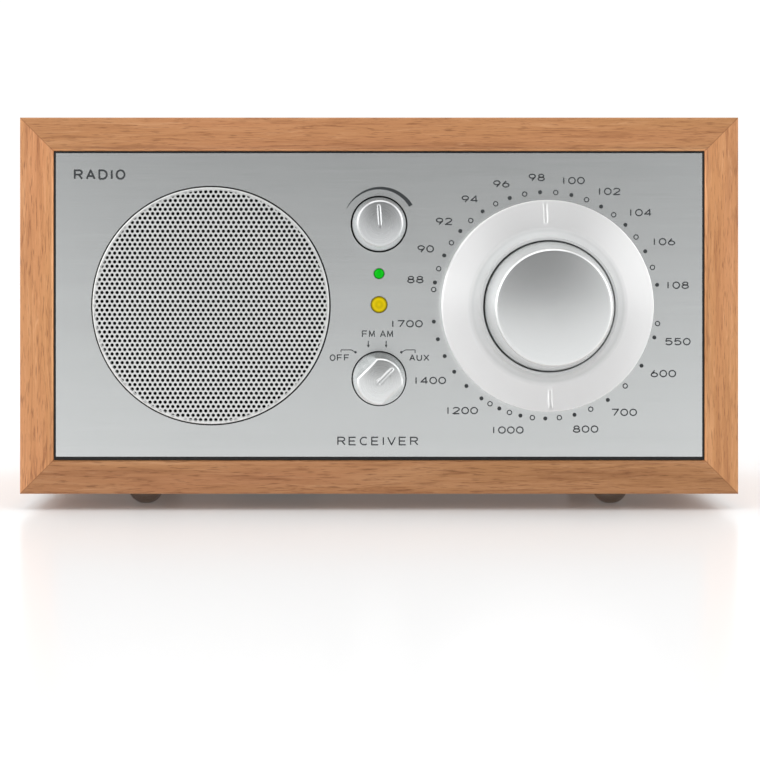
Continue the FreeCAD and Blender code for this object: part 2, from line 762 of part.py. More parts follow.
def tuning_knob():
    """The large knob: straight base, tapered side, bright bevel and a gently domed face."""
    face, base = size("dims.tuning_face"), size("dims.tuning_base")
    top, bore = size("dims.tuning_out"), size("dims.shaft_radius")
    edge, low = top - size("dims.tuning_dome"), size("dims.tuning_low")
    bevel, straight_top, wall, front_wall = 0.5, 11.0, 1.6, 2.6
    boss, boss_low, bore_top = bore + 2.2, 4.2, top - 5.0
    shape = turned((0, top), (crown(face, edge, top), (face, edge)), (face + bevel, edge - bevel),
                   (base, straight_top), (base, low), (base - wall, low),
                   (face - 1.2, top - front_wall), (boss, top - front_wall), (boss, boss_low),
                   (bore, boss_low), (bore, bore_top), (0, bore_top))
    tuning_node("tuning_knob", shape)


def tuning_shaft():
    """The knob's shaft, with the sun gear cut on its rear end."""
    radius, neck_radius = size("dims.shaft_radius"), 2.2
    sun_top = SUN_LOW + size("dims.gear_wide")
    top = size("dims.tuning_out") - 5.0
    neck = rod(neck_radius, (0, 0, sun_top), (0, 0, sun_top + NECK_LONG))
    shaft = rod(radius, (0, 0, sun_top + NECK_LONG), (0, 0, top))
    teeth = gear_solid(int(size("dims.sun_teeth")), 90, SUN_LOW, size("dims.gear_wide"))
    tuning_node("tuning_shaft", fused([shaft, neck, teeth]))


def dial_ring():
    """The dial: a flat ring that sweeps up into a collar round the knob."""
    outer, out = size("dims.ring_radius"), size("dims.ring_out")
    inner, collar = size("dims.ring_inner"), size("dims.collar_radius")
    top, hub = size("dims.collar_out"), size("dims.hub_radius")
    collar_wall, bend = 0.9, 1 - math.sqrt(0.5)
    sweep = inner - collar - collar_wall
    lip = inner - sweep
    low, web_low, web_top, sheet_thick = 0.8, 1.6, 3.2, 1.8
    rim, ring_bevel, lip_bevel = 1.5, 0.3, 0.2
    shape = turned((outer, low), (outer, out - ring_bevel), (outer - ring_bevel, out), (inner, out),
                   ((inner - sweep * (1 - bend), out + sweep * bend), (lip, out + sweep)),
                   (lip, top - lip_bevel), (lip - lip_bevel, top), (collar, top),
                   (collar, web_top), (hub, web_top), (hub, web_low), (inner - 1.2, web_low),
                   (inner - 1.2, out - sheet_thick), (outer - rim, out - sheet_thick),
                   (outer - rim, low))
    half, mark_deep = size("dims.groove_wide / 2"), 0.7
    for start, end, up in ((24.2, 30.0, 1), (24.7, 30.1, -1)):
        mark = box_between((-half, min(up * start, up * end), out - mark_deep),
                           (half, max(up * start, up * end), out + 1))
        mark.rotate(Vector(), Vector(0, 0, 1), DIAL_LEAN)
        shape = shape.cut(mark)
    tuning_node("dial_ring", shape)


def planet_carrier():
    """The dial's hub runs on the knob's shaft; three pins behind it carry the planets."""
    shaft, hub = size("dims.shaft_radius"), size("dims.hub_radius")
    bore = shaft + size("dims.running_gap")
    pin, hub_front = size("dims.pin_radius"), 3.2
    shape = rod(hub, (0, 0, CARRIER_FRONT), (0, 0, hub_front))
    shape = shape.fuse(rod(CARRIER_RADIUS, (0, 0, CARRIER_BACK), (0, 0, CARRIER_FRONT)))
    for x, y in planet_spots():
        shape = shape.fuse(rod(pin, (x, y, PIN_END), (x, y, CARRIER_BACK)))
    shape = shape.cut(rod(bore, (0, 0, CARRIER_BACK), (0, 0, hub_front)))
    tuning_node("planet_carrier", shape.removeSplitter())


def orbit_radius():
    return size("dims.gear_module * (dims.sun_teeth + dims.planet_teeth) / 2")


def planet_angles():
    return [math.radians(90 + 120 * index) for index in range(3)]


def planet_spots():
    """The planets' places round the dial's axis."""
    return [(orbit_radius() * math.cos(angle), orbit_radius() * math.sin(angle))
            for angle in planet_angles()]


def planet_gears():
    """Three planets. A gap of each faces the sun and the opposite gap faces the outer ring."""
    teeth, wide = int(size("dims.planet_teeth")), size("dims.gear_wide")
    bore = size("dims.pin_radius + dims.running_gap")
    for index, (angle, (x, y)) in enumerate(zip(planet_angles(), planet_spots())):
        turn = math.degrees(angle) + 180 / teeth
        shape = gear_solid(teeth, turn, SUN_LOW, wide)
        shape = shape.cut(rod(bore, (0, 0, SUN_LOW), (0, 0, SUN_LOW + wide)))
        front_node(f"planet_gear_{index + 1}", shape, f"dims.tuning_across + {x}",
                   f"dims.tuning_high + {y}")


def ring_gear():
    """The fixed gear housing: internal teeth in a cup whose open side meets the baffle."""
    teeth = int(size("dims.internal_teeth"))
    pitch = size("dims.gear_module") * teeth / 2
    half_tooth = 180 / teeth
    thinning, addendum, dedendum = -0.03, 0.65, 0.38
    wall, mouth, bore = 3.5, 0.8, 0.9
    front, floor, end_gap = -10.0, -19.0, 0.2
    outline = gear_outline(teeth, half_tooth, thinning, addendum, dedendum)
    outline.translate(Vector(0, 0, SUN_LOW - end_gap))
    cavity = Part.Face(outline).extrude(Vector(0, 0, size("dims.gear_wide") + 3 * end_gap))
    cup = rod(pitch + wall, (0, 0, HOUSING_BACK), (0, 0, front))
    cup = cup.cut(rod(pitch + mouth, (0, 0, CARRIER_BACK - end_gap), (0, 0, front)))
    cup = cup.cut(rod(pitch - bore, (0, 0, floor), (0, 0, front)))
    cup = cup.cut(rod(SHAFT_HOLE, (0, 0, HOUSING_BACK), (0, 0, floor)))
    tuning_node("ring_gear", cup.cut(cavity))


def half_vane(radius, low, side):
    """A thin half disc: side 1 keeps the part at positive x, side -1 at negative x."""
    thick = 0.6
    disc = rod(radius, (0, 0, low), (0, 0, low + thick))
    edges = sorted((0, -side * 2 * radius))
    return disc.cut(box_between((edges[0], -2 * radius, low), (edges[1], 2 * radius, low + thick)))


def rotor_flange():
    """The disc on the rotor's front end that the carrier's three pins turn."""
    flange = rod(CARRIER_RADIUS, (0, 0, PIN_END), (0, 0, ROTOR_DISC_FRONT))
    for x, y in planet_spots():
        flange = flange.cut(rod(size("dims.pin_radius"), (x, y, PIN_END), (x, y, ROTOR_DISC_FRONT)))
    return flange


def capacitor_frame():
    """A bent sheet frame: two end plates with the rotor's holes, and a floor."""
    half, sheet_thick, bearing = 15.0, 1.2, 2.55
    plates = [box_between((-half, -half, low), (half, half, low + sheet_thick))
              for low in (HOUSING_BACK - sheet_thick, CAPACITOR_BACK)]
    floor = box_between((-half, -half, CAPACITOR_BACK), (half, sheet_thick - half, HOUSING_BACK))
    frame = fused(plates + [floor])
    frame = frame.cut(rod(SHAFT_HOLE, (0, 0, HOUSING_BACK - sheet_thick), (0, 0, HOUSING_BACK)))
    frame = frame.cut(rod(bearing, (0, 0, CAPACITOR_BACK), (0, 0, CAPACITOR_BACK + sheet_thick)))
    tuning_node("capacitor_frame", frame)


def capacitor_vanes():
    """Eight turning vanes on the rotor, between seven fixed ones on a bar."""
    sheet_thick, spindle, neck, neck_back = 1.2, 2.5, 3.0, -20.6
    first_vane, spacing, turning, fixed = -38.5, 2.0, 8, 7
    turning_radius, fixed_radius, clearance = 11.5, 13.0, 4.0
    rotor = [rod(spindle, (0, 0, CAPACITOR_BACK + 0.4), (0, 0, neck_back)),
             rod(neck, (0, 0, neck_back), (0, 0, PIN_END)), rotor_flange()]
    bar_left, bar_right, bar_half = -14.5, -12.6, 5.0
    stator = [box_between((bar_left, -bar_half, CAPACITOR_BACK + sheet_thick),
                          (bar_right, bar_half, HOUSING_BACK - sheet_thick))]
    for index in range(turning):
        vane = half_vane(turning_radius, first_vane + spacing * index, 1)
        vane.rotate(Vector(), Vector(0, 0, 1), -90)
        rotor.append(vane)
    for index in range(fixed):
        vane = half_vane(fixed_radius, first_vane + spacing * (index + 0.5), -1)
        stator.append(vane.cut(rod(clearance, (0, 0, CAPACITOR_BACK), (0, 0, HOUSING_BACK))))
    tuning_node("capacitor_rotor", fused(rotor))
    tuning_node("capacitor_stator", fused(stator))


# ---------------------------------------------------------------- indicator lamps

def lamps():
    """The green and amber LEDs with their leads, and the small board that they stand on."""
    board_front, body_back, straight, peak = -12.0, -5.0, 0.1, 0.6
    lead_half, lead_spread, overlap = 0.25, 1.0, 0.2
    for label, radius, high in (("power_led", "dims.power_led_radius", "dims.power_led_high"),
                                ("tuning_led", "dims.tuning_led_radius", "dims.tuning_led_high")):
        r = size(radius)
        body = turned((0, body_back), (r, body_back), (r, straight),
                      (crown(r, straight, peak), (0, peak)))
        leads = [box_between((x - lead_half, -lead_half, board_front),
                             (x + lead_half, lead_half, body_back + overlap))
                 for x in (-lead_spread, lead_spread)]
        front_node(label, fused([body] + leads), "0", high)
    half, low, top, board_thick = 8.0, 55.0, 74.5, 1.2
    board = box_between((-half, low, board_front - board_thick), (half, top, board_front))
    front_node("lamp_board", board, "0", "0")


# ---------------------------------------------------------------- electronics

BOARD_LOW = (-62.0, 20.0)
BOARD_HIGH = (52.0, 56.0)


def main_board():
    """The circuit board on its four pillars."""
    under, top, floor = size("dims.board_under"), size(BOARD_TOP), size(INNER_LOW)
    edge, pillar = 4.0, 3.0
    shape_node("main_board", box_between((*BOARD_LOW, under), (*BOARD_HIGH, top)))
    pillars = [rod(pillar, (x, y, floor), (x, y, under))
               for x in (BOARD_LOW[0] + edge, BOARD_HIGH[0] - edge)
               for y in (BOARD_LOW[1] + edge, BOARD_HIGH[1] - edge)]
    shape_node("board_pillars", Part.makeCompound(pillars))


def board_parts():
    """The tuner's shield can, two filter capacitors and the amplifier's finned heat sink."""
    top = size(BOARD_TOP)
    left, front, right, rear, tall, wall = -50.0, 25.0, -18.0, 50.0, 12.0, 0.5
    can = box_between((left, front, top), (right, rear, top + tall))
    can = can.cut(box_between((left + wall, front + wall, top),
                              (right - wall, rear - wall, top + tall - wall)))
    shape_node("tuner_shield", can)
    can_radius, can_tall, can_back = 6.5, 25.0, 30.0
    cans = [rod(can_radius, (x, can_back, top), (x, can_back, top + can_tall)) for x in (26, 40)]
    shape_node("filter_capacitors", Part.makeCompound(cans))
    fin_thick, fin_front, plate_front, plate_back, fin_tall = 1.2, 24.0, 33.0, 35.0, 26.0
    fin_places = (-10, -5, 0, 5, 10)
    fins = [box_between((x, fin_front, top), (x + fin_thick, plate_front, top + fin_tall))
            for x in fin_places]
    plate = box_between((fin_places[0], plate_front, top),
                        (fin_places[-1] + fin_thick, plate_back, top + fin_tall))
    shape_node("heat_sink", fused([plate] + fins))


def transformer():
    """The mains transformer: a laminated core with two windows filled by the winding."""
    wide, deep, tall = 42.0, 18.0, 35.0
    limb, play, overhang = 7.0, 0.2, 6.0
    core = box_between((-wide / 2, 0, 0), (wide / 2, deep, tall))
    for left in (-2 * limb, limb):
        core = core.cut(box_between((left, 0, limb), (left + limb, deep, tall - limb)))
    coil = box_between((-2 * limb, -overhang, limb + play),
                       (2 * limb, deep + overhang, tall - limb - play))
    coil = coil.cut(box_between((-limb, 0, 0), (limb, deep, tall)))
    place_at = ("74.5", "6", INNER_LOW)
    shape_node("transformer_core", core, *place_at)
    shape_node("transformer_winding", coil, *place_at)


def ferrite_antenna():
    """The AM aerial: a ferrite rod with its coil, held under the top board by two clips."""
    back, high, top = 42.0, 95.0, size(INNER_HIGH)
    radius, half_long, winding = 4.0, 50.0, 1.4
    coil_ends = (12.0, 40.0)
    shape_node("antenna_rod", rod(radius, (-half_long, back, high), (half_long, back, high)))
    ends = [(x, back, high) for x in coil_ends]
    shape_node("antenna_coil", rod(radius + winding, *ends).cut(rod(radius, *ends)))
    clips = []
    reach, half_wide = 7.0, 3.0
    for x in (-36.0, -4.0):
        clip = box_between((x - half_wide, back - reach, high - reach),
                           (x + half_wide, back + reach, top))
        hole = rod(radius, (x - half_wide, back, high), (x + half_wide, back, high))
        clips.append(clip.cut(hole))
    shape_node("antenna_clips", Part.makeCompound(clips))


# ---------------------------------------------------------------- rear

# Places along the row of sockets, seen from behind.
AERIAL_X = 46.0
SWITCH_X = 24.0
SOCKET_X = (-2.0, -20.0)
INLET_X = -72.0
REAR_ROW = 30.0

AERIAL_RADIUS = 4.7
BARREL_RADIUS = 3.0
SCREW_CLEARANCE = 1.75
PANEL_INSIDE = -3.0      # the panel's inner face, from its outer one


def rear_panel():
    """The rear panel, drawn from behind: local +X is the radio's left."""
    side = f"({INNER_HALF} - dims.panel_play)"
    low, high = f"({INNER_LOW} + dims.panel_play)", f"({INNER_HIGH} - dims.panel_play)"
    corner = f"({INNER_HALF} - dims.block_side / 2)"
    holes = [(f"{sign} * {corner}", f"{level} {turn} * dims.block_side / 2", str(SCREW_CLEARANCE))
             for sign in (1, -1) for level, turn in ((INNER_LOW, "+ 1"), (INNER_HIGH, "- 1"))]
    holes.append((str(AERIAL_X), str(REAR_ROW), str(AERIAL_RADIUS + 0.1)))
    holes += [(str(x), str(REAR_ROW), str(BARREL_RADIUS + 0.1)) for x in SOCKET_X]
    outline = [(f"-{side}", low), (side, low), (side, high), (f"-{side}", high)]
    body = drawn_plate("rear_panel", outline, holes, "dims.panel_thick",
                       back=f"{PANEL_BACK} - dims.panel_thick", rotation=REARWARD)
    sketch = new_sketch(body, "XY_Plane", "dims.panel_thick")
    for middle, half_wide, half_tall in ((SWITCH_X, 4.5, 2.0), (INLET_X, 9.0, 5.0)):
        draw_rectangle(sketch, str(middle - half_wide), str(REAR_ROW - half_tall),
                       str(middle + half_wide), str(REAR_ROW + half_tall))
    pocket(body, sketch, "dims.panel_thick")


def rear_screws():
    """Four cross-headed screws through the rear panel into the glue blocks."""
    corner = size(f"{INNER_HALF} - dims.block_side / 2")
    levels = (size(f"{INNER_LOW} + dims.block_side / 2"),
              size(f"{INNER_HIGH} - dims.block_side / 2"))
    head, rim, peak, shank, long_part = 2.9, 0.8, 1.9, 1.5, 12.0
    cross_half, cross_thick, cross_floor = 1.6, 0.3, 0.7
    screws = []
    for x in (corner, -corner):
        for y in levels:
            cap = turned((0, 0), (head, 0), (head, rim), (crown(head, rim, peak), (0, peak)))
            screw = fused([cap, rod(shank, (0, 0, PANEL_INSIDE - long_part), (0, 0, 0))])
            for across, up in ((cross_half, cross_thick), (cross_thick, cross_half)):
                screw = screw.cut(box_between((-across, -up, cross_floor), (across, up, peak + 1)))
            screw.translate(Vector(x, y, 0))
            screws.append(screw)
    rear_node("rear_screws", Part.makeCompound(screws), "0", "0")


def audio_sockets():
    """The auxiliary input and the headphone output: two 3.5 mm sockets."""
    half, case_deep, bore, bore_deep, barrel_out = 6.0, 17.0, 1.8, 12.0, 4.0
    sockets = []
    for x in SOCKET_X:
        case = box_between((-half, -half, -case_deep), (half, half, PANEL_INSIDE))
        shape = fused([case, rod(BARREL_RADIUS, (0, 0, PANEL_INSIDE), (0, 0, barrel_out))])
        shape = shape.cut(rod(bore, (0, 0, -bore_deep), (0, 0, barrel_out)))
        shape.translate(Vector(x, 0, 0))
        sockets.append(shape)
    rear_node("audio_sockets", Part.makeCompound(sockets), "0", str(REAR_ROW))


def socket_nuts():
    """The slotted ring nuts on both audio sockets."""
    outer, thick, slot_half, slot_floor = 4.6, 1.8, 0.5, 1.1
    nuts = []
    for x in SOCKET_X:
        nut = tube(outer, BARREL_RADIUS, 0, thick)
        for turn in (0, 90):
            slot = box_between((-slot_half, -outer, slot_floor), (slot_half, outer, thick))
            slot.rotate(Vector(), Vector(0, 0, 1), turn)
            nut = nut.cut(slot)
        nut.translate(Vector(x, 0, 0))
        nuts.append(nut)
    rear_node("socket_nuts", Part.makeCompound(nuts), "0", str(REAR_ROW))


def aerial_socket():
    """The outdoor aerial's threaded coaxial socket."""
    barrel_out, flange, flange_thick = 5.8, 6.4, 1.6
    case_half_wide, case_half_tall, case_back = 7.0, 6.4, -8.0
    contact, contact_floor = 0.6, 0.8
    shape = fused([rod(AERIAL_RADIUS, (0, 0, 2 * PANEL_INSIDE), (0, 0, barrel_out)),
                   rod(flange, (0, 0, 0), (0, 0, flange_thick)),
                   box_between((-case_half_wide, -case_half_tall, case_back),
                               (case_half_wide, case_half_tall, PANEL_INSIDE))])
    shape = shape.cut(rod(contact, (0, 0, contact_floor), (0, 0, barrel_out)))
    rear_node("aerial_socket", shape, str(AERIAL_X), str(REAR_ROW))


def aerial_switch():
    """The slide switch for the inner or outer aerial, and its slider."""
    half_wide, half_tall, back = 8.0, 3.4, -9.0
    slot_half_wide, slot_half_tall, slot_floor = 5.2, 2.2, -6.0
    play, travel = 0.3, 3.0
    case = box_between((-half_wide, -half_tall, back), (half_wide, half_tall, PANEL_INSIDE))
    case = case.cut(box_between((-slot_half_wide, -slot_half_tall, slot_floor),
                                (slot_half_wide, slot_half_tall, PANEL_INSIDE)))
    rear_node("aerial_switch", case, str(SWITCH_X), str(REAR_ROW))
    left, right = play - slot_half_wide, slot_half_wide - play - travel
    foot_half, foot_top, grip_half, grip_out = 1.9, PANEL_INSIDE - 0.4, 1.5, 2.0
    foot = box_between((left, -foot_half, slot_floor + play), (right, foot_half, foot_top))
    grip = box_between((left + 1.0, -grip_half, foot_top), (right - 1.8, grip_half, grip_out))
    rear_node("aerial_slider", fused([foot, grip]), str(SWITCH_X), str(REAR_ROW))


def mains_inlet():
    """A two-pin mains inlet with a figure-of-eight mouth."""
    half_wide, half_tall, back = 8.9, 4.9, -16.0
    flange_half_wide, flange_half_tall, flange_thick = 11.0, 6.5, 2.0
    pin_spread, pin, pin_back, pin_front = 4.3, 1.2, -14.0, -1.0
    mouth_radius, waist_half, mouth_floor = 3.6, 3.1, -12.0
    case = fused([box_between((-half_wide, -half_tall, back), (half_wide, half_tall, 0)),
                  box_between((-flange_half_wide, -flange_half_tall, 0),
                              (flange_half_wide, flange_half_tall, flange_thick))])
    spots = (-pin_spread, pin_spread)
    rounds = [rod(mouth_radius, (x, 0, mouth_floor), (x, 0, flange_thick)) for x in spots]
    waist = box_between((-pin_spread, -waist_half, mouth_floor),
                        (pin_spread, waist_half, flange_thick))
    case = case.cut(fused(rounds + [waist]))
    pins = [rod(pin, (x, 0, pin_back), (x, 0, pin_front)) for x in spots]
    rear_node("mains_inlet", fused([case] + pins), str(INLET_X), str(REAR_ROW))


# ---------------------------------------------------------------- build and write

def build():
    cabinet_boards()
    corner_blocks()
    feet()
    bass_port_tube()
    faceplate()
    front_baffle()
    speaker_grille()
    speaker_frame()
    speaker_motor()
    speaker_cone()
    speaker_suspension()
    volume_set()
    mode_set()
    control_nuts()
    tuning_knob()
    tuning_shaft()
    dial_ring()
    planet_carrier()
    planet_gears()
    ring_gear()
    capacitor_frame()
    capacitor_vanes()
    lamps()
    main_board()
    board_parts()
    transformer()
    ferrite_antenna()
    rear_panel()
    rear_screws()
    audio_sockets()
    socket_nuts()
    aerial_socket()
    aerial_switch()
    mains_inlet()
    doc.recompute()


def check():
    """Stop before writing if any object failed or any sub-part is empty or invalid."""
    for item in doc.Objects:
        bad = [state for state in item.State if state in ("Invalid", "Error")]
        if bad:
            raise RuntimeError(f"{item.Label}: {bad}")
    for node in nodes:
        if node.Shape.isNull() or not node.Shape.isValid() or not node.Shape.Solids:
            raise RuntimeError(f"{node.Label} has no valid solid")
        print(f"{node.Label}: {len(node.Shape.Solids)} solid, {node.Shape.Volume:.1f} mm3")


def write():
    os.makedirs("parts", exist_ok=True)
    for node in nodes:
        node.Shape.exportStep(f"parts/{node.Label}.step")
    print(f"{len(nodes)} parts written")


build()
check()
write()
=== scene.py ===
import json
import math

import bmesh
import bpy
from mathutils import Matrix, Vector
from mathutils.geometry import delaunay_2d_cdt


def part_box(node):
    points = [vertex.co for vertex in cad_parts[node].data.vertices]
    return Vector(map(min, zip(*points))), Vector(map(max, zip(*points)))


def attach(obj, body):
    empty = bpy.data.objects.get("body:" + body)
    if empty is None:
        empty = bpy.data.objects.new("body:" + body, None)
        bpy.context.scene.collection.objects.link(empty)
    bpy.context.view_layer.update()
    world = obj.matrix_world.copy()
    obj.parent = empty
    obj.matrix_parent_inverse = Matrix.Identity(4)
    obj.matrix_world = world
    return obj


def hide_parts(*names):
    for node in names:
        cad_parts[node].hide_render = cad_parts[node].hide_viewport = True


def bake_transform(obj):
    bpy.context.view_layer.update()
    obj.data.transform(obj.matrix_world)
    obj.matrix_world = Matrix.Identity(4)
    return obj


# A wooden table radio. The frame is in metres; front details are worked out in millimetres,
# in a local plan whose x is the radio's +X, whose y is its +Z, and whose height "out" is the
# distance in front of the faceplate.

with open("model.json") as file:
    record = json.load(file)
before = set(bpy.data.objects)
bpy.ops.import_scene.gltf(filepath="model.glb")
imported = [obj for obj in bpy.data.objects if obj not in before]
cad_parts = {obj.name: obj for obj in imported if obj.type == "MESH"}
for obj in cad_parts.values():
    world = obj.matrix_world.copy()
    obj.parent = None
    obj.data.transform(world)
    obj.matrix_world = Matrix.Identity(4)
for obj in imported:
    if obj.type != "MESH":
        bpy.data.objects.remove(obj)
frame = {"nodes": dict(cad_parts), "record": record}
NODES = frame["nodes"]
MM = 0.001
FLAT_SHARP, TURNED_SHARP = 30.0, 35.0


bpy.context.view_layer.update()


def centre_of(node):
    low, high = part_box(node)
    return (low + high) / 2


PLATE_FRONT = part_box("faceplate")[0].y
SPEAKER = centre_of("speaker_grille")
TUNING = centre_of("tuning_knob")
VOLUME = centre_of("volume_knob")
MODE = centre_of("mode_knob")


def front_of(node):
    """How far a node reaches in front of the faceplate, in millimetres."""
    return (PLATE_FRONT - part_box(node)[0].y) / MM


def back_of(node):
    """How far in front of the faceplate a node's back is, in millimetres: negative behind it."""
    return (PLATE_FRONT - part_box(node)[1].y) / MM


def radius_of(node):
    """Half a turned node's width, in millimetres."""
    low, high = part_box(node)
    return (high.x - low.x) / 2 / MM


# ---------------------------------------------------------------- mesh helpers


def to_row(x, y, out, across=0.0, high=0.0):
    """A point of the front's local plan, in millimetres, as a point of the frame in metres."""
    return Vector((across + x * MM, PLATE_FRONT - out * MM, high + y * MM))


def round_axis(centre, radius, angle, out):
    """A point at a radius and an angle, in radians, round the axis through centre."""
    return to_row(radius * math.cos(angle), radius * math.sin(angle), out, centre.x, centre.z)


def turned_row(x, y, out, turn, centre):
    """A point of the plan about centre, turned clockwise by turn degrees."""
    angle = -math.radians(turn)
    return to_row(x * math.cos(angle) - y * math.sin(angle),
                  x * math.sin(angle) + y * math.cos(angle), out, centre.x, centre.z)


def joined_rings(first, second, count):
    """The quads that join two closed rings of count points, which start at first and second."""
    return [[first + k, first + (k + 1) % count, second + (k + 1) % count, second + k]
            for k in range(count)]


def placed(name, data):
    """A new object in the scene."""
    made = bpy.data.objects.new(name, data)
    bpy.context.scene.collection.objects.link(made)
    return made


def shaded(mesh, angle):
    """Smooth shading, except at edges sharper than angle."""
    mesh.polygons.foreach_set("use_smooth", [True] * len(mesh.polygons))
    mesh.set_sharp_from_angle(angle=math.radians(angle))


def finish_mesh(name, points, faces, angle=TURNED_SHARP):
    """A mesh object from points and faces, smooth except at sharp edges."""
    mesh = bpy.data.meshes.new(name)
    mesh.from_pydata([tuple(point) for point in points], [], faces)
    work = bmesh.new()
    work.from_mesh(mesh)
    bmesh.ops.remove_doubles(work, verts=work.verts, dist=1e-7)
    bmesh.ops.recalc_face_normals(work, faces=work.faces)
    work.to_mesh(mesh)
    work.free()
    shaded(mesh, angle)
    return placed(name, mesh)


def arc(middle, radius, start, end, steps):
    """Points along an arc, angles in degrees."""
    points = []
    for index in range(steps + 1):
        angle = math.radians(start + (end - start) * index / steps)
        points.append((middle[0] + radius * math.cos(angle), middle[1] + radius * math.sin(angle)))
    return points


def eased(points, radii, steps=4):
    """An open outline with each inner corner rounded by its own radius."""
    result = [points[0]]
    for before, here, after, radius in zip(points, points[1:], points[2:], radii):
        corner = Vector(here)
        start = corner + (Vector(before) - corner).normalized() * radius
        end = corner + (Vector(after) - corner).normalized() * radius
        for index in range(steps + 1):
            share = index / steps
            point = start * (1 - share) ** 2 + corner * 2 * share * (1 - share) + end * share ** 2
            result.append((point.x, point.y))
    result.append(points[-1])
    return result


def turned_mesh(name, outline, centre, segments=160, closed=False):
    """A mesh turned about the axis through centre, from (radius, out) points in millimetres."""
    points, faces = [], []
    count = len(outline)
    for turn in range(segments):
        angle = 2 * math.pi * turn / segments
        points += [round_axis(centre, radius, angle, out) for radius, out in outline]
    rows = count if closed else count - 1
    for turn in range(segments):
        here, there = turn * count, (turn + 1) % segments * count
        for index in range(rows):
            after = (index + 1) % count
            quad = [here + index, here + after, there + after, there + index]
            if outline[index][0] < 1e-6:
                quad = [here + index, here + after, there + after]
            elif outline[after][0] < 1e-6:
                quad = [here + index, here + after, there + index]
            faces.append(quad)
    return finish_mesh(name, points, faces)


def cut_away(piece, cutter):
    """Subtract a cutter from a piece's mesh and remove the cutter."""
    step = piece.modifiers.new("cut", "BOOLEAN")
    step.operation = "DIFFERENCE"
    step.solver = "EXACT"
    step.object = cutter
    graph = bpy.context.evaluated_depsgraph_get()
    mesh = bpy.data.meshes.new_from_object(piece.evaluated_get(graph))
    piece.modifiers.clear()
    piece.data = mesh
    bpy.data.objects.remove(cutter)


def slot_cutter(length_from, length_to, half, floor, face, flare, turn, centre, fade=None,
                dip=0.0):
    """A long cutter along local y, turned clockwise by turn degrees, for a slot whose edges
    have a shallow chamfer, flare wide. With fade, its far end is round and dips with a domed
    face, and it rises to the surface at its near end, from y = fade downwards."""
    sink = flare / 2

    def outline(grow):
        wide, low, high = half + grow, length_from - grow, length_to + grow
        if fade is None:
            return [(wide, high), (-wide, high), (-wide, low), (wide, low)]
        return arc((0, length_to - half), wide, 0, 180, 12) + [(-wide, fade), (-wide, length_from),
                                                               (wide, length_from), (wide, fade)]

    lift = 0.0 if fade is None else (face - floor) * 1.1 / (fade - length_from)
    slope = dip / length_to
    points = []
    for out, grow in ((floor, 0.0), (face - sink, 0.0), (face + 1.0, flare + flare / sink)):
        for x, y in outline(grow):
            rise = 0.0 if fade is None else max(0.0, fade - y) * lift - max(0.0, y) * slope
            points.append(turned_row(x, y, out + rise, turn, centre))
    count = len(points) // 3
    faces = [list(range(count)), list(range(2 * count, 3 * count))]
    faces += joined_rings(0, count, count) + joined_rings(count, 2 * count, count)
    return finish_mesh("cutter", points, faces)


def install(piece, body, slot, material, *replaced):
    """Give a piece its material and body, and hide the CAD nodes that it stands for. slot is not
    used.
    """
    piece.data.materials.clear()
    piece.data.materials.append(material)
    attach(piece, body)
    if replaced:
        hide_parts(*replaced)


# ---------------------------------------------------------------- materials


class Nodes:
    """A wrapper that makes a node tree readable to build."""

    def __init__(self, tree):
        self.tree = tree

    def feed(self, socket, value):
        """Link an output to a socket, or set the socket to a number, a vector or a colour."""
        if isinstance(value, bpy.types.NodeSocket):
            self.tree.links.new(value, socket)
        else:
            socket.default_value = (*value, 1.0) if socket.type == "RGBA" else value

    def node(self, kind, inputs, **settings):
        """A new node, its inputs given by name or number and its settings by name."""
        made = self.tree.nodes.new(kind)
        for key, value in settings.items():
            setattr(made, key, value)
        for key, value in inputs.items():
            self.feed(made.inputs[key], value)
        return made

    def span(self, value, low, high, start=0.0, end=1.0, curve="LINEAR"):
        """Map a value from start..end to low..high."""
        inputs = {"Value": value, "From Min": start, "From Max": end, "To Min": low,
                  "To Max": high}
        return self.node("ShaderNodeMapRange", inputs, interpolation_type=curve).outputs["Result"]

    def maths(self, operation, first, second=0.0):
        inputs = {0: first, 1: second}
        return self.node("ShaderNodeMath", inputs, operation=operation).outputs["Value"]


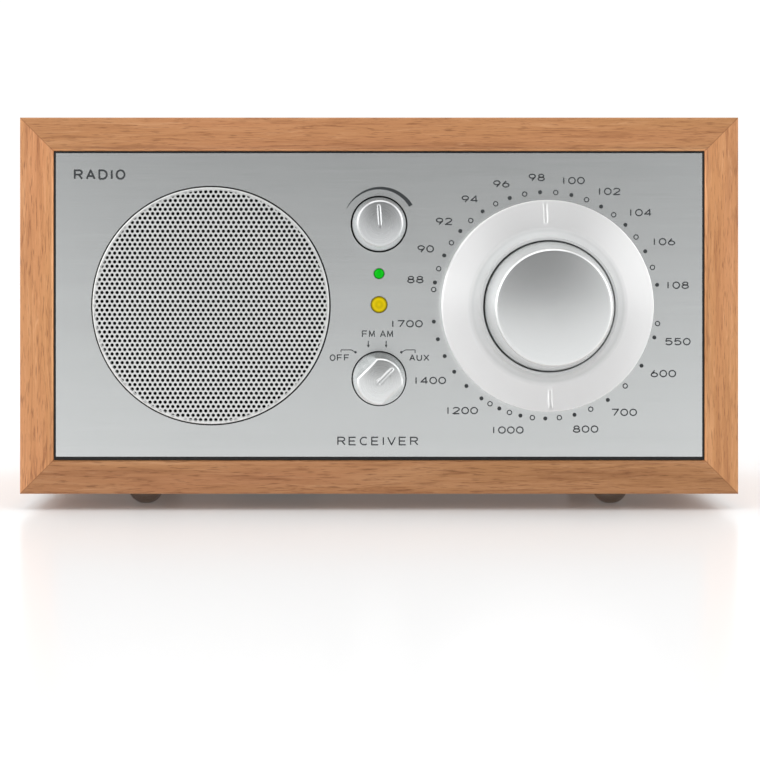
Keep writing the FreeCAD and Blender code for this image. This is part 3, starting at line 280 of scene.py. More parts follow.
class Shader(Nodes):
    """A node material, with its principled shader as main."""

    def __init__(self, name):
        self.material = bpy.data.materials.new(name)
        self.material.use_nodes = True
        super().__init__(self.material.node_tree)
        self.main = self.tree.nodes["Principled BSDF"]
        self.place = self.node("ShaderNodeTexCoord", {}).outputs["Object"]

    def set(self, **values):
        """Set or link the principled shader's inputs, with _ for the spaces in their names."""
        for key, value in values.items():
            self.feed(self.main.inputs[key.replace("_", " ")], value)

    def stretched(self, scale, offset=(0.0, 0.0, 0.0)):
        """Object coordinates scaled per axis, so that a texture runs along one of them."""
        inputs = {"Vector": self.place, "Location": offset, "Scale": scale}
        return self.node("ShaderNodeMapping", inputs).outputs["Vector"]

    def noise(self, vector, scale, detail=4.0, rough=0.5, distortion=0.0):
        inputs = {"Vector": vector, "Scale": scale, "Detail": detail, "Roughness": rough,
                  "Distortion": distortion}
        return self.node("ShaderNodeTexNoise", inputs).outputs["Fac"]

    def ramp(self, value, *stops):
        ramp = self.node("ShaderNodeValToRGB", {"Fac": value})
        items = ramp.color_ramp.elements
        while len(items) < len(stops):
            items.new(0.5)
        for item, (position, colour) in zip(items, stops):
            item.position = position
            item.color = (*colour, 1.0)
        return ramp.outputs["Color"]

    def mottled(self, value, base, shade, start=0.35, end=0.65):
        """Shade times the base colour where value is at start, and the base colour at end."""
        low = tuple(part * shade for part in base)
        return self.ramp(value, (start, low), (end, base))

    def coordinates(self):
        """A point's X, Y and Z."""
        return self.node("ShaderNodeSeparateXYZ", {"Vector": self.place}).outputs

    def mix(self, share, first, second, blend="MIX"):
        inputs = {0: share, 6: first, 7: second}
        return self.node("ShaderNodeMix", inputs, data_type="RGBA", blend_type=blend).outputs[2]

    def bump(self, height, strength, distance):
        inputs = {"Height": height, "Strength": strength, "Distance": distance}
        self.set(Normal=self.node("ShaderNodeBump", inputs).outputs["Normal"])


def linear(red, green, blue):
    """A display colour, 0 to 255, as linear light."""
    values = []
    for value in (red, green, blue):
        share = value / 255
        values.append(share / 12.92 if share <= 0.04045 else ((share + 0.055) / 1.055) ** 2.4)
    return tuple(values)


def from_opening(shader):
    """How far a point lies outside the opening that the faceplate fills."""
    low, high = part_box("faceplate")
    point = shader.coordinates()
    beside = shader.maths("SUBTRACT", shader.maths("ABSOLUTE", point["X"]), high.x)
    under = shader.maths("SUBTRACT", low.z, point["Z"])
    over = shader.maths("SUBTRACT", point["Z"], high.z)
    return shader.maths("MAXIMUM", beside, shader.maths("MAXIMUM", under, over))


def from_mitre(shader):
    """How far a point lies from the plane of the nearest mitre joint."""
    low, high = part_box("cabinet_left")[0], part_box("cabinet_right")[1]
    point = shader.coordinates()
    beside = shader.maths("SUBTRACT", high.x, shader.maths("ABSOLUTE", point["X"]))
    level = shader.maths("SUBTRACT", point["Z"], (low.z + high.z) / 2)
    within = shader.maths("SUBTRACT", (high.z - low.z) / 2, shader.maths("ABSOLUTE", level))
    apart = shader.maths("ABSOLUTE", shader.maths("SUBTRACT", beside, within))
    return shader.maths("MULTIPLY", apart, math.sqrt(0.5))


def from_axis(shader, centre):
    """How far a point lies from the axis through centre along Y."""
    point = shader.coordinates()
    across = shader.maths("SUBTRACT", point["X"], centre.x)
    high = shader.maths("SUBTRACT", point["Z"], centre.z)
    squared = shader.maths("ADD", shader.maths("MULTIPLY", across, across),
                           shader.maths("MULTIPLY", high, high))
    return shader.maths("SQRT", squared)


def wood(name, along, painted_light_tone=1.0, seed=0.0):
    """Satin cherry. along is the axis that the grain follows: "x" or "z". Layers of texture tint
    it in turn. The eased edge round the front opening gets a painted highlight, and the mitres are
    dark. The tone lightens or darkens the whole board: painted light and shade."""
    shader = Shader(name)

    def grain(length, width):
        return {"x": (length, width, width), "z": (width, width, length)}[along]

    shift = (seed, seed * 1.7, seed * 0.6)
    clouds = shader.noise(shader.stretched(grain(6.0, 60.0), shift), 1.0, 2.0, 0.5)
    figure = shader.noise(shader.stretched(grain(11.0, 230.0), shift), 1.0, 4.0, 0.6, 1.2)
    streaks = shader.noise(shader.stretched(grain(60.0, 1000.0), shift), 1.0, 4.0, 0.7, 0.9)
    pores = shader.noise(shader.stretched(grain(220.0, 3200.0), shift), 1.0, 2.0, 0.5)
    rosy, golden = linear(194, 136, 96), linear(190, 137, 93)
    tint = shader.ramp(clouds, (0.38, rosy), (0.62, golden))
    for texture, strength, start, end, colour in (
            (figure, 0.55, 0.47, 0.30, linear(142, 88, 54)),
            (figure, 0.45, 0.54, 0.70, linear(214, 162, 120)),
            (streaks, 0.7, 0.46, 0.28, linear(134, 82, 50)),
            (streaks, 0.55, 0.55, 0.72, linear(218, 168, 128)),
            (pores, 0.55, 0.57, 0.70, linear(112, 66, 40))):
        tint = shader.mix(shader.span(texture, 0.0, strength, start, end), tint, colour)
    # Painted highlight: a lighter band along the eased edge round the front opening.
    painted_lip_highlight = shader.span(from_opening(shader), 1.0, 0.0, 0.7 * MM, 1.2 * MM)
    joint = shader.span(from_mitre(shader), 0.6, 0.0, 0.03 * MM, 0.2 * MM)
    # Painted light and shade: the tone brightens or darkens the whole board.
    painted_light_toned = shader.mix(1.0, tint, (painted_light_tone, painted_light_tone * 0.97, painted_light_tone * 0.89), "MULTIPLY")
    with_painted_highlight = shader.mix(painted_lip_highlight, painted_light_toned, (1.7, 1.75, 1.85), "MULTIPLY")
    shader.set(Base_Color=shader.mix(joint, with_painted_highlight, (0.5, 0.42, 0.36), "MULTIPLY"),
               Roughness=shader.span(streaks, 0.42, 0.55), Specular_IOR_Level=0.3,
               Coat_Weight=0.1, Coat_Roughness=0.3)
    shader.bump(shader.maths("ADD", streaks, pores), 0.15, 0.00008)
    return shader.material


def bare_wood(name):
    """Unfinished board, for the baffle and the glue blocks."""
    shader = Shader(name)
    lines = shader.noise(shader.stretched((12.0, 60.0, 160.0)), 4.0, 5.0, 0.6, 0.3)
    dark, pale = linear(150, 118, 82), linear(196, 166, 124)
    shader.set(Base_Color=shader.ramp(lines, (0.3, dark), (0.7, pale)),
               Roughness=shader.span(lines, 0.7, 0.9))
    shader.bump(lines, 0.3, 0.0002)
    return shader.material


def brushed_plate(name, base, rough):
    """Sheet metal brushed along X."""
    shader = Shader(name)
    brush = shader.noise(shader.stretched((45.0, 700.0, 7000.0)), 1.0, 4.0, 0.6)
    broad = shader.noise(shader.stretched((4.0, 60.0, 240.0)), 1.0, 3.0, 0.5)
    lines = shader.maths("ADD", shader.maths("MULTIPLY", brush, 0.6),
                         shader.maths("MULTIPLY", broad, 0.4))
    upright = shader.node("ShaderNodeCombineXYZ", {"Z": 1.0}).outputs["Vector"]
    shader.set(Base_Color=shader.mottled(lines, base, 0.95, 0.38, 0.62), Metallic=1.0,
               Roughness=shader.span(brush, rough - 0.03, rough + 0.04), Anisotropic=0.3,
               Tangent=upright)
    shader.bump(brush, 0.04, 0.00002)
    return shader.material


def spun_metal(name, base, rough, centre, metallic, anisotropic, painted_shade_within=None):
    """Metal finished by turning: fine rings round the axis through centre, along Y. From about the
    radius painted_shade_within, in millimetres, inwards its colour is darkened as painted shade, and
    it is less metallic there."""
    shader = Shader(name)
    radius, fineness = from_axis(shader, centre), 9000.0
    joined = shader.node("ShaderNodeCombineXYZ", {
        "X": shader.maths("MULTIPLY", radius, fineness),
        "Y": shader.maths("MULTIPLY", shader.coordinates()["Y"], fineness)})
    rings = shader.noise(joined.outputs["Vector"], 1.0, 3.0, 0.6)
    finish = shader.mottled(rings, base, 0.95)
    # Painted shade: the colour darkens inside the radius, and the metal is less metallic there.
    if painted_shade_within is not None:
        inside = shader.span(radius, 1.0, 0.0, (painted_shade_within - 0.8) * MM, (painted_shade_within + 0.6) * MM)
        finish = shader.mix(inside, finish, (0.62, 0.63, 0.63), "MULTIPLY")
        metallic = shader.span(inside, metallic, 0.15)
    round_about = shader.node("ShaderNodeTangent", {}, direction_type="RADIAL", axis="Y")
    shader.set(Base_Color=finish, Metallic=metallic, Anisotropic=anisotropic,
               Roughness=shader.span(rings, rough - 0.01, rough + 0.02),
               Anisotropic_Rotation=0.25, Tangent=round_about.outputs["Tangent"])
    shader.bump(rings, 0.01, 0.00001)
    return shader.material


def plain_metal(name, base, rough, grain=900.0):
    """Small turned or pressed metal parts."""
    shader = Shader(name)
    marks = shader.noise(shader.place, grain, 4.0, 0.6)
    shader.set(Base_Color=shader.mottled(marks, base, 0.9), Metallic=1.0,
               Roughness=shader.span(marks, rough - 0.06, rough + 0.08))
    shader.bump(marks, 0.08, 0.00003)
    return shader.material


def moulded(name, base, rough, grain=2200.0, depth=0.12):
    """Plastic, foam, cloth, paper or board with a fine, even texture."""
    shader = Shader(name)
    marks = shader.noise(shader.place, grain, 3.0, 0.55)
    shader.set(Base_Color=shader.mottled(marks, base, 0.85),
               Roughness=shader.span(marks, rough - 0.06, rough + 0.06))
    shader.bump(marks, depth, 0.00005)
    return shader.material


def silver_paint(name, base, rough, metallic=0.25):
    """Bright satin silver paint with fine metal flake."""
    shader = Shader(name)
    flake = shader.noise(shader.place, 1800.0, 3.0, 0.6)
    shader.set(Base_Color=shader.mottled(flake, base, 0.94), Metallic=metallic,
               Roughness=shader.span(flake, rough - 0.05, rough + 0.07))
    shader.bump(flake, 0.05, 0.00002)
    return shader.material


def lamp(name, colour, glow, node):
    """A tinted lamp with light coming through it. Its colour is painted light and shade across the
    dome: brighter in the middle and in a ring, dimmer between them and darkest at the rim.
    """
    shader = Shader(name)
    share = shader.maths("DIVIDE", from_axis(shader, centre_of(node)), radius_of(node) * MM)
    # Painted highlights and painted shade: the ramp brightens the middle and a ring, and darkens a
    # band and the rim.
    painted_shade_band = tuple(value * 0.75 for value in colour)
    dark = tuple(value * 0.16 for value in colour)
    tint = shader.ramp(share, (0.0, colour), (0.35, painted_shade_band), (0.7, colour), (0.98, dark))
    shader.set(Base_Color=tint, Roughness=0.3, Specular_IOR_Level=0.1, Emission_Color=colour,
               Emission_Strength=glow)
    return shader.material


def clear_rubber(name):
    """The clear, slightly milky rubber of the feet."""
    shader = Shader(name)
    marks = shader.noise(shader.place, 500.0, 2.0, 0.5)
    milky, clear = linear(226, 232, 230), linear(246, 250, 248)
    shader.set(Base_Color=shader.ramp(marks, (0.3, milky), (0.7, clear)),
               Roughness=shader.span(marks, 0.04, 0.14), Transmission_Weight=0.88, IOR=1.4)
    return shader.material


SILVER = linear(232, 234, 234)
INK = moulded("scale_ink", linear(48, 52, 54), 0.7)
# Near black, for the painted shadow strips round the faceplate and the grille.
SHADOW_STRIP_BLACK = moulded("painted_shadow_black", linear(18, 17, 16), 0.8)

SLOTS = {
    "cabinet_wood": (wood, "x"),
    "inner_wood": (bare_wood,),
    "stained_board": (moulded, linear(14, 14, 14), 0.85, 900.0, 0.4),
    "faceplate_metal": (brushed_plate, linear(228, 231, 231), 0.25),
    "knob_metal": (plain_metal, SILVER, 0.3),
    "dial_metal": (silver_paint, linear(236, 237, 237), 0.45),
    "grille_metal": (silver_paint, linear(234, 235, 234), 0.34, 0.75),
    "steel": (plain_metal, linear(176, 178, 180), 0.3),
    "dark_steel": (moulded, linear(34, 34, 36), 0.4),
    "zinc_plate": (plain_metal, linear(186, 188, 180), 0.34, 300.0),
    "black_plastic": (moulded, linear(30, 30, 31), 0.5),
    "white_nylon": (moulded, linear(226, 224, 214), 0.45),
    "green_lamp": (lamp, linear(2, 196, 22), 0.1, "power_led"),
    "amber_lamp": (lamp, linear(222, 196, 1), 0.03, "tuning_led"),
    "clear_rubber": (clear_rubber,),
    "foam": (moulded, linear(40, 40, 42), 0.9, 900.0, 0.5),
    "cone_paper": (moulded, linear(46, 44, 42), 0.85, 1500.0, 0.6),
    "cone_cloth": (moulded, linear(128, 98, 62), 0.85, 1800.0, 0.6),
    "ferrite": (moulded, linear(52, 52, 56), 0.6, 1200.0, 0.3),
    "circuit_board": (moulded, linear(24, 92, 54), 0.4, 500.0, 0.2),
    "copper_wire": (plain_metal, linear(196, 116, 70), 0.35, 1600.0),
    "bare_aluminium": (plain_metal, linear(208, 210, 212), 0.32, 700.0),
}
SLOT_MATERIALS = {slot: make(slot, *values) for slot, (make, *values) in SLOTS.items()}


def paint_nodes():
    """Every CAD node takes its slot's material."""
    for part in frame["record"]["subparts"]:
        node = NODES[part["node"]]
        node.data.materials.clear()
        node.data.materials.append(SLOT_MATERIALS[part["material_slot"]])
        shaded(node.data, FLAT_SHARP)


# ---------------------------------------------------------------- cabinet


def board_mesh(name, node, along):
    """A cabinet board with its long edges eased. Its mitred ends stay sharp and closed."""
    ease, shortest = 0.45 * MM, 50 * MM
    work = bmesh.new()
    work.from_mesh(NODES[node].data)
    bmesh.ops.remove_doubles(work, verts=work.verts, dist=1e-6)
    bmesh.ops.dissolve_limit(work, angle_limit=math.radians(1), verts=work.verts,
                             edges=work.edges)
    axis = {"x": Vector((1, 0, 0)), "z": Vector((0, 0, 1))}[along]
    long_edges = []
    for edge in work.edges:
        line = edge.verts[1].co - edge.verts[0].co
        bent = len(edge.link_faces) == 2 and edge.calc_face_angle() > math.radians(FLAT_SHARP)
        if bent and abs(line.normalized().dot(axis)) > 0.999 and line.length > shortest:
            long_edges.append(edge)
    bmesh.ops.bevel(work, geom=long_edges, offset=ease, segments=3, profile=0.5,
                    affect="EDGES", clamp_overlap=True)
    mesh = bpy.data.meshes.new(name)
    work.to_mesh(mesh)
    work.free()
    shaded(mesh, FLAT_SHARP)
    return placed(name, mesh)


def cabinet():
    # Each board's tone is painted light and shade: the sides lighter, the top and the bottom darker.
    grain = {"cabinet_top": ("x", 0.88, 0.0), "cabinet_bottom": ("x", 0.78, 0.31),
             "cabinet_left": ("z", 1.12, 0.53), "cabinet_right": ("z", 1.08, 0.77)}
    for node, (along, painted_light_tone, seed) in grain.items():
        material = wood(f"{node}_grain", along, painted_light_tone, seed)
        board = board_mesh(f"{node}_board", node, along)
        install(board, "cabinet", "cabinet_wood", material, node)


# ---------------------------------------------------------------- front


def hole_centres(reach, pitch, hole):
    """The grille's hexagonal pattern of holes, as far out as their centres lie on it."""
    row_step = pitch * math.sqrt(3) / 2
    rows, columns = int(reach / row_step) + 1, int(reach / pitch) + 2
    centres = []
    for row in range(-rows, rows + 1):
        for column in range(-columns, columns + 1):
            x, y = (column + (row % 2) / 2) * pitch, row * row_step
            if math.hypot(x, y) + hole / 10 <= reach:
                centres.append((x, y))
    return centres


def perforated_sheet(flat, rim_steps, front, back):
    """The points and faces of the grille's flat sheet, with the walls of its round holes. Each
    point has the number of its hole, or -1 on the edge: a triangle within one hole is left out."""
    pitch, hole, sides, reach = 1.5, 0.52, 10, flat - 0.04
    points = [Vector(point) for point in arc((0, 0), flat, 0, 360, rim_steps)[:-1]]
    owner = [-1] * rim_steps
    edges = [(index, (index + 1) % rim_steps) for index in range(rim_steps)]
    for number, (x, y) in enumerate(hole_centres(reach, pitch, hole)):
        first = len(points)
        for side in range(sides):
            angle = 2 * math.pi * (side + 0.5) / sides
            spot = Vector((x + hole * math.cos(angle), y + hole * math.sin(angle)))
            points.append(spot * min(1.0, reach / spot.length))
            owner.append(number)
        edges += [(first + side, first + (side + 1) % sides) for side in range(sides)]
    plan, _, triangles, origins, _, _ = delaunay_2d_cdt(points, edges, [], 0, 1e-6)
    plan_owner = [owner[source[0]] if source else -2 for source in origins]
    sheet = []
    for triangle in triangles:
        owners = {plan_owner[index] for index in triangle}
        if len(owners) > 1 or owners == {-1}:
            sheet.append(list(triangle))
    count = len(plan)
    mesh_points = [to_row(point.x, point.y, out, SPEAKER.x, SPEAKER.z)
                   for out in (front, back) for point in plan]
    faces = sheet + [[count + index for index in reversed(face)] for face in sheet]
    where = {source[0]: index for index, source in enumerate(origins) if source}
    for first in range(rim_steps, len(points), sides):
        for side in range(sides):
            a, b = where[first + side], where[first + (side + 1) % sides]
            faces.append([a, b, count + b, count + a])
    return mesh_points, faces


def perforated_grille():
    """The pressed grille: the perforated sheet with a rolled rim that reaches back."""
    radius, front = radius_of("speaker_grille"), front_of("speaker_grille")
    thick, curl, skirt, rim_steps = 0.8, 0.3, -2.0, 180
    flat, back = radius - curl, front - thick
    points, faces = perforated_sheet(flat, rim_steps, front, back)
    rim = ([(flat, front)] + arc((flat, front - curl), curl, 80, 0, 5)
           + [(radius, skirt), (radius - thick, skirt), (radius - thick, back), (flat, back)])
    first, length = len(points), len(rim)
    for step in range(rim_steps):
        angle = 2 * math.pi * step / rim_steps
        points += [round_axis(SPEAKER, reach, angle, out) for reach, out in rim]
    for step in range(rim_steps):
        here, there = first + step * length, first + (step + 1) % rim_steps * length
        faces += joined_rings(here, there, length)[:-1]
    piece = finish_mesh("perforated_grille", points, faces, 40.0)
    install(piece, "cabinet", "grille_metal", SLOT_MATERIALS["grille_metal"], "speaker_grille")


def on_dome(face, top, dome, share):
    """A point of a domed face's outline, a share of the way from its middle to its edge."""
    return (face * share, top - dome * share ** 2)


def knob_outline(base, face, top):
    """The small knobs' outline, from the middle of the face round to the hollow behind. base
    and face are the radii at the foot and at the face's edge."""
    dome, chamfer, foot, skirt, wall = 0.4, 0.45, 1.0, -1.0, 1.3
    ceiling, bore, bore_end, edge, steps = 1.6, 3.05, top - 4.1, top - dome, 10
    middle = [on_dome(face, top, dome, index / steps) for index in range(steps)]
    side = eased([middle[-1], (face, edge), (face + chamfer, edge - chamfer), (base, foot),
                  (base, skirt), (base - wall, skirt)], (0.06, 0.12, 0.3, 0.15))
    return middle + side[1:] + [(base - wall, ceiling), (bore, ceiling), (bore, bore_end),
                                (0, bore_end)]


def pointer_slot(piece, centre, top, flare, turn):
    """The pointer: a narrow slot with chamfered edges that fades out near the middle."""
    start, end, half, deep, fade, dip = -1.4, 5.3, 0.24, 0.45, -0.4, 0.28
    cut_away(piece, slot_cutter(start, end, half, top - deep, top, flare, turn, centre, fade, dip))
    shaded(piece.data, TURNED_SHARP)


def volume_knob():
    """A plain turned knob with a pointer slot."""
    top = front_of("volume_knob")
    piece = turned_mesh("volume_knob_turned", knob_outline(7.95, 6.35, top), VOLUME, 128)
    pointer_slot(piece, VOLUME, top, 0.24, -4.0)
    metal = spun_metal("volume_metal", linear(216, 218, 219), 0.27, VOLUME, 1.0, 0.3)
    install(piece, "volume", "knob_metal", metal, "volume_knob")


def flat_cutter(side, near, foot, edge, turn, centre):
    """A wedge that cuts one sloping flat, near the axis at the face and out to foot at the
    base. edge is how far out the face is there, and the edge between them is chamfered."""
    far, half, low, chamfer = 12.0, 11.0, 1.0, 0.5
    section = [(near - chamfer - 1.0, edge + 1.0), (far, edge + 1.0), (far, low), (foot, low),
               (near, edge - chamfer)]
    points = [turned_row(side * x, y, out, turn, centre)
              for y in (-half, half) for x, out in section]
    count = len(section)
    faces = [list(range(count)), list(range(2 * count - 1, count - 1, -1))]
    return finish_mesh("cutter", points, faces + joined_rings(0, count, count))


def mode_knob():
    """A turned knob with two flats beside its pointer slot."""
    top, turn, near, foot, edge_drop = front_of("mode_knob"), 45.0, 5.3, 7.6, 0.28
    piece = turned_mesh("mode_knob_turned", knob_outline(7.8, 6.3, top), MODE, 128)
    for side in (1, -1):
        cut_away(piece, flat_cutter(side, near, foot, top - edge_drop, turn, MODE))
    pointer_slot(piece, MODE, top, 0.4, turn)
    metal = spun_metal("mode_metal", SILVER, 0.27, MODE, 1.0, 0.3)
    install(piece, "mode", "knob_metal", metal, "mode_knob")


def tuning_knob():
    """A domed drum, hollow behind, with a hub for the shaft."""
    top, base, face, dome, chamfer = front_of("tuning_knob"), radius_of("tuning_knob"), 16.3, 0.8, 0.5
    foot, skirt, wall, hollow, ceiling = 11.0, 3.9, 1.6, 15.1, 21.4
    hub, hub_end, bore, bore_end, edge, steps = 5.2, 4.2, 3.02, 19.0, top - dome, 20
    middle = [on_dome(face, top, dome, index / steps) for index in range(steps)]
    side = eased([middle[-1], (face, edge), (face + chamfer, edge - chamfer), (base, foot),
                  (base, skirt), (base - wall, skirt)], (0.08, 0.15, 0.6, 0.2))
    inside = [(hollow, ceiling), (hub, ceiling), (hub, hub_end), (bore, hub_end),
              (bore, bore_end), (0, bore_end)]
    piece = turned_mesh("tuning_knob_turned", middle + side[1:] + inside, TUNING, 200)
    metal = spun_metal("tuning_metal", SILVER, 0.25, TUNING, 1.0, 0.25)
    install(piece, "tuning", "knob_metal", metal, "tuning_knob")


def dial_ring():
    """A dished ring: a flat outer band with two index slots, and a curve up to a collar."""
    outer, inner, collar, bore = radius_of("dial_ring"), 23.4, 19.3, 5.5
    top, face, web, floor, under = front_of("dial_ring"), 6.5, 3.2, 1.6, 0.8
    shelf, skirt, step, ceiling = collar + 0.9, outer - 1.5, inner - 1.2, face - 1.8
    sweep = inner - shelf
    band = eased([(skirt, under), (outer, under), (outer, face), (inner, face)], (0.1, 0.35))
    rise = arc((inner, face + sweep), sweep, 270, 180, 9)
    rim = eased([rise[-1], (shelf, top), (collar, top), (collar, web)], (0.25, 0.2))
    back = [(bore, web), (bore, floor), (step, floor), (step, ceiling), (skirt, ceiling)]
    outline = band[:-1] + rise + rim[1:] + back
    piece = turned_mesh("dial_ring_turned", outline, TUNING, 200, closed=True)
    half, deep, flare = 0.4, 0.7, 0.25
    for start, end, turn in ((24.4, 29.8, -1.5), (24.9, 29.9, 178.5)):
        cut_away(piece, slot_cutter(start, end, half, face - deep, face, flare, turn, TUNING))
    shaded(piece.data, TURNED_SHARP)
    # The colour inside the cove is darkened as painted shade.
    metal = spun_metal("dial_metal_spun", linear(252, 252, 252), 0.42, TUNING, 0.85, 0.9,
                       inner - 0.4)
    install(piece, "dial", "dial_metal", metal, "dial_ring")


# ---------------------------------------------------------------- painted shadow strips and soft parts


def faceplate_seal():
    """A black strip over the gap between the faceplate and the boards: a painted shadow that makes
    the gap line darker and wider.
    """
    low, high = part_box("faceplate")
    left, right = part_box("cabinet_left")[1].x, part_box("cabinet_right")[0].x
    under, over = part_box("cabinet_bottom")[1].z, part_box("cabinet_top")[0].z
    lap, back, front = 0.15 * MM, 0.01, 0.12
    outer = [(left, under), (right, under), (right, over), (left, over)]
    inner = [(low.x + lap, low.z + lap), (high.x - lap, low.z + lap),
             (high.x - lap, high.z - lap), (low.x + lap, high.z - lap)]
    points, faces = [], []
    for far, near in zip(outer, inner):
        points += [to_row(0, 0, out, x, z) for (x, z), out in (
            (far, back), (far, front), (near, front), (near, back))]
    for side in range(4):
        faces += joined_rings(side * 4, (side + 1) % 4 * 4, 4)
    install(finish_mesh("faceplate_seal", points, faces), "cabinet", "foam", SHADOW_STRIP_BLACK)


def grille_seal():
    """A thin black ring round the grille: a painted shadow that makes the gap line round it darker
    and wider.
    """
    near, back, front = radius_of("speaker_grille") + 0.02, 0.01, 0.06
    far = near + 0.45
    section = [(near, back), (far, back), (far, front), (near, front)]
    piece = turned_mesh("grille_seal", section, SPEAKER, closed=True)
    install(piece, "cabinet", "foam", SHADOW_STRIP_BLACK)


def flexing_ring(node, slot, lower, upper, fixed, moved):
    """A soft ring between the loudspeaker's basket and its cone, as twelve sectors. The radii fixed
    and moved have no effect on the sectors. lower and upper are the section's two sides, as
    (radius, out) points in millimetres."""
    sectors, steps, count = 12, 8, 2 * len(lower)
    section = lower + upper[::-1]
    ends = [[k, k + 1, count - 2 - k, count - 1 - k] for k in range(len(lower) - 1)]
    for sector in range(sectors):
        points, faces = [], []
        for step in range(steps + 1):
            angle = 2 * math.pi * (sector + step / steps) / sectors
            points += [round_axis(SPEAKER, radius, angle, out) for radius, out in section]
        for here in range(0, steps * count, count):
            faces += joined_rings(here, here + count, count)
        faces += ends + [[steps * count + k for k in end] for end in ends]
        piece = finish_mesh(f"{node}_sector_{sector + 1}", points, faces)
        piece.data.materials.append(SLOT_MATERIALS[slot])
        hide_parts(node)
        middle = 2 * math.pi * (sector + 0.5) / sectors
        round_axis(SPEAKER, fixed, middle, 0.0)
        round_axis(SPEAKER, moved, middle, 0.0)
        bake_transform(piece)


def cone_surround():
    """The half-round roll between the basket's flange and the cone's rim."""
    low, outer = back_of("cone_surround"), radius_of("cone_surround")
    rim = radius_of("speaker_cone")
    inner, cloth, roll = rim - 1.0, 0.4, 2.2
    middle = rim + roll
    tilt = math.degrees(math.asin(cloth / (roll + cloth)))
    lower = [(inner, low)] + arc((middle, low), roll, 180, 0, 12) + [(outer, low)]
    upper = ([(inner, low + cloth)] + arc((middle, low), roll + cloth, 180 - tilt, tilt, 12)
             + [(outer, low + cloth)])
    flexing_ring("cone_surround", "foam", lower, upper, outer - 3.2, rim + 0.3)


def cone_spider():
    """The corrugated cloth that centres the voice coil, on its raised foot."""
    front, floor = front_of("cone_spider"), back_of("cone_spider")
    coil, edge = radius_of("voice_coil"), radius_of("cone_spider")
    foot, cloth, waves, steps = edge - 2.0, 0.4, 4, 32
    lower, upper = [], []
    for index in range(steps + 1):
        share = index / steps
        radius = coil + (foot - coil) * share
        lift = 0.3 * math.sin(2 * math.pi * waves * share)
        lower.append((radius, front - cloth + lift))
        upper.append((radius, front + lift))
    lower += [(foot, floor), (edge, floor)]
    upper += [(foot + 0.1, front), (edge, front)]
    flexing_ring("cone_spider", "cone_cloth", lower, upper, foot - 0.7, coil + 0.8)


# ---------------------------------------------------------------- printing

# Each letter's strokes in a box one wide and one high: lines of points, in which "o" stands for
# an arc, given by its middle, its half width and half height, and its first and last angle.
STROKES = {
    "0": [[("o", 0.5, 0.5, 0.5, 0.5, 0, 360)]],
    "1": [[(0.0, 0), (0.0, 1)]],
    "2": [[("o", 0.5, 0.72, 0.46, 0.28, 165, -38), (0.02, 0.0), (1, 0)]],
    "4": [[(0.76, 0), (0.76, 1), (0.0, 0.27), (1, 0.27)]],
    "5": [[(0.92, 1), (0.16, 1), (0.06, 0.56), ("o", 0.47, 0.33, 0.5, 0.32, 140, -150)]],
    "6": [[("o", 0.5, 0.31, 0.47, 0.31, 150, 510)], [(0.09, 0.47), (0.56, 1)]],
    "7": [[(0, 1), (0.98, 1), (0.32, 0)]],
    "8": [[("o", 0.5, 0.76, 0.38, 0.24, 0, 360)], [("o", 0.5, 0.27, 0.47, 0.27, 0, 360)]],
    "9": [[("o", 0.5, 0.69, 0.47, 0.31, -30, 330)], [(0.91, 0.53), (0.44, 0)]],
    "A": [[(0, 0), (0.5, 1), (1, 0)], [(0.17, 0.32), (0.83, 0.32)]],
    "C": [[("o", 0.54, 0.5, 0.52, 0.5, 50, 310)]],
    "D": [[(0.04, 0), (0.04, 1), (0.4, 1), ("o", 0.44, 0.5, 0.54, 0.5, 90, -90), (0.04, 0)]],
    "E": [[(0.9, 1), (0.04, 1), (0.04, 0), (0.9, 0)], [(0.04, 0.5), (0.8, 0.5)]],
    "F": [[(0.04, 0), (0.04, 1), (0.95, 1)], [(0.04, 0.5), (0.85, 0.5)]],
    "I": [[(0.5, 0), (0.5, 1)]],
    "M": [[(0.0, 0), (0.06, 1), (0.5, 0.12), (0.94, 1), (1.0, 0)]],
    "O": [[("o", 0.5, 0.5, 0.5, 0.5, 0, 360)]],
    "R": [[(0.04, 0), (0.04, 1), (0.6, 1), ("o", 0.6, 0.75, 0.34, 0.25, 90, -90), (0.04, 0.5)],
          [(0.55, 0.5), (0.98, 0)]],
    "U": [[(0.03, 1), (0.03, 0.38), ("o", 0.5, 0.38, 0.47, 0.38, 180, 360), (0.97, 1)]],
    "V": [[(0, 1), (0.5, 0), (1, 1)]],
    "X": [[(0, 0), (1, 1)], [(0, 1), (1, 0)]],
}
NARROW = {"1": 0.48, "I": 0.28}


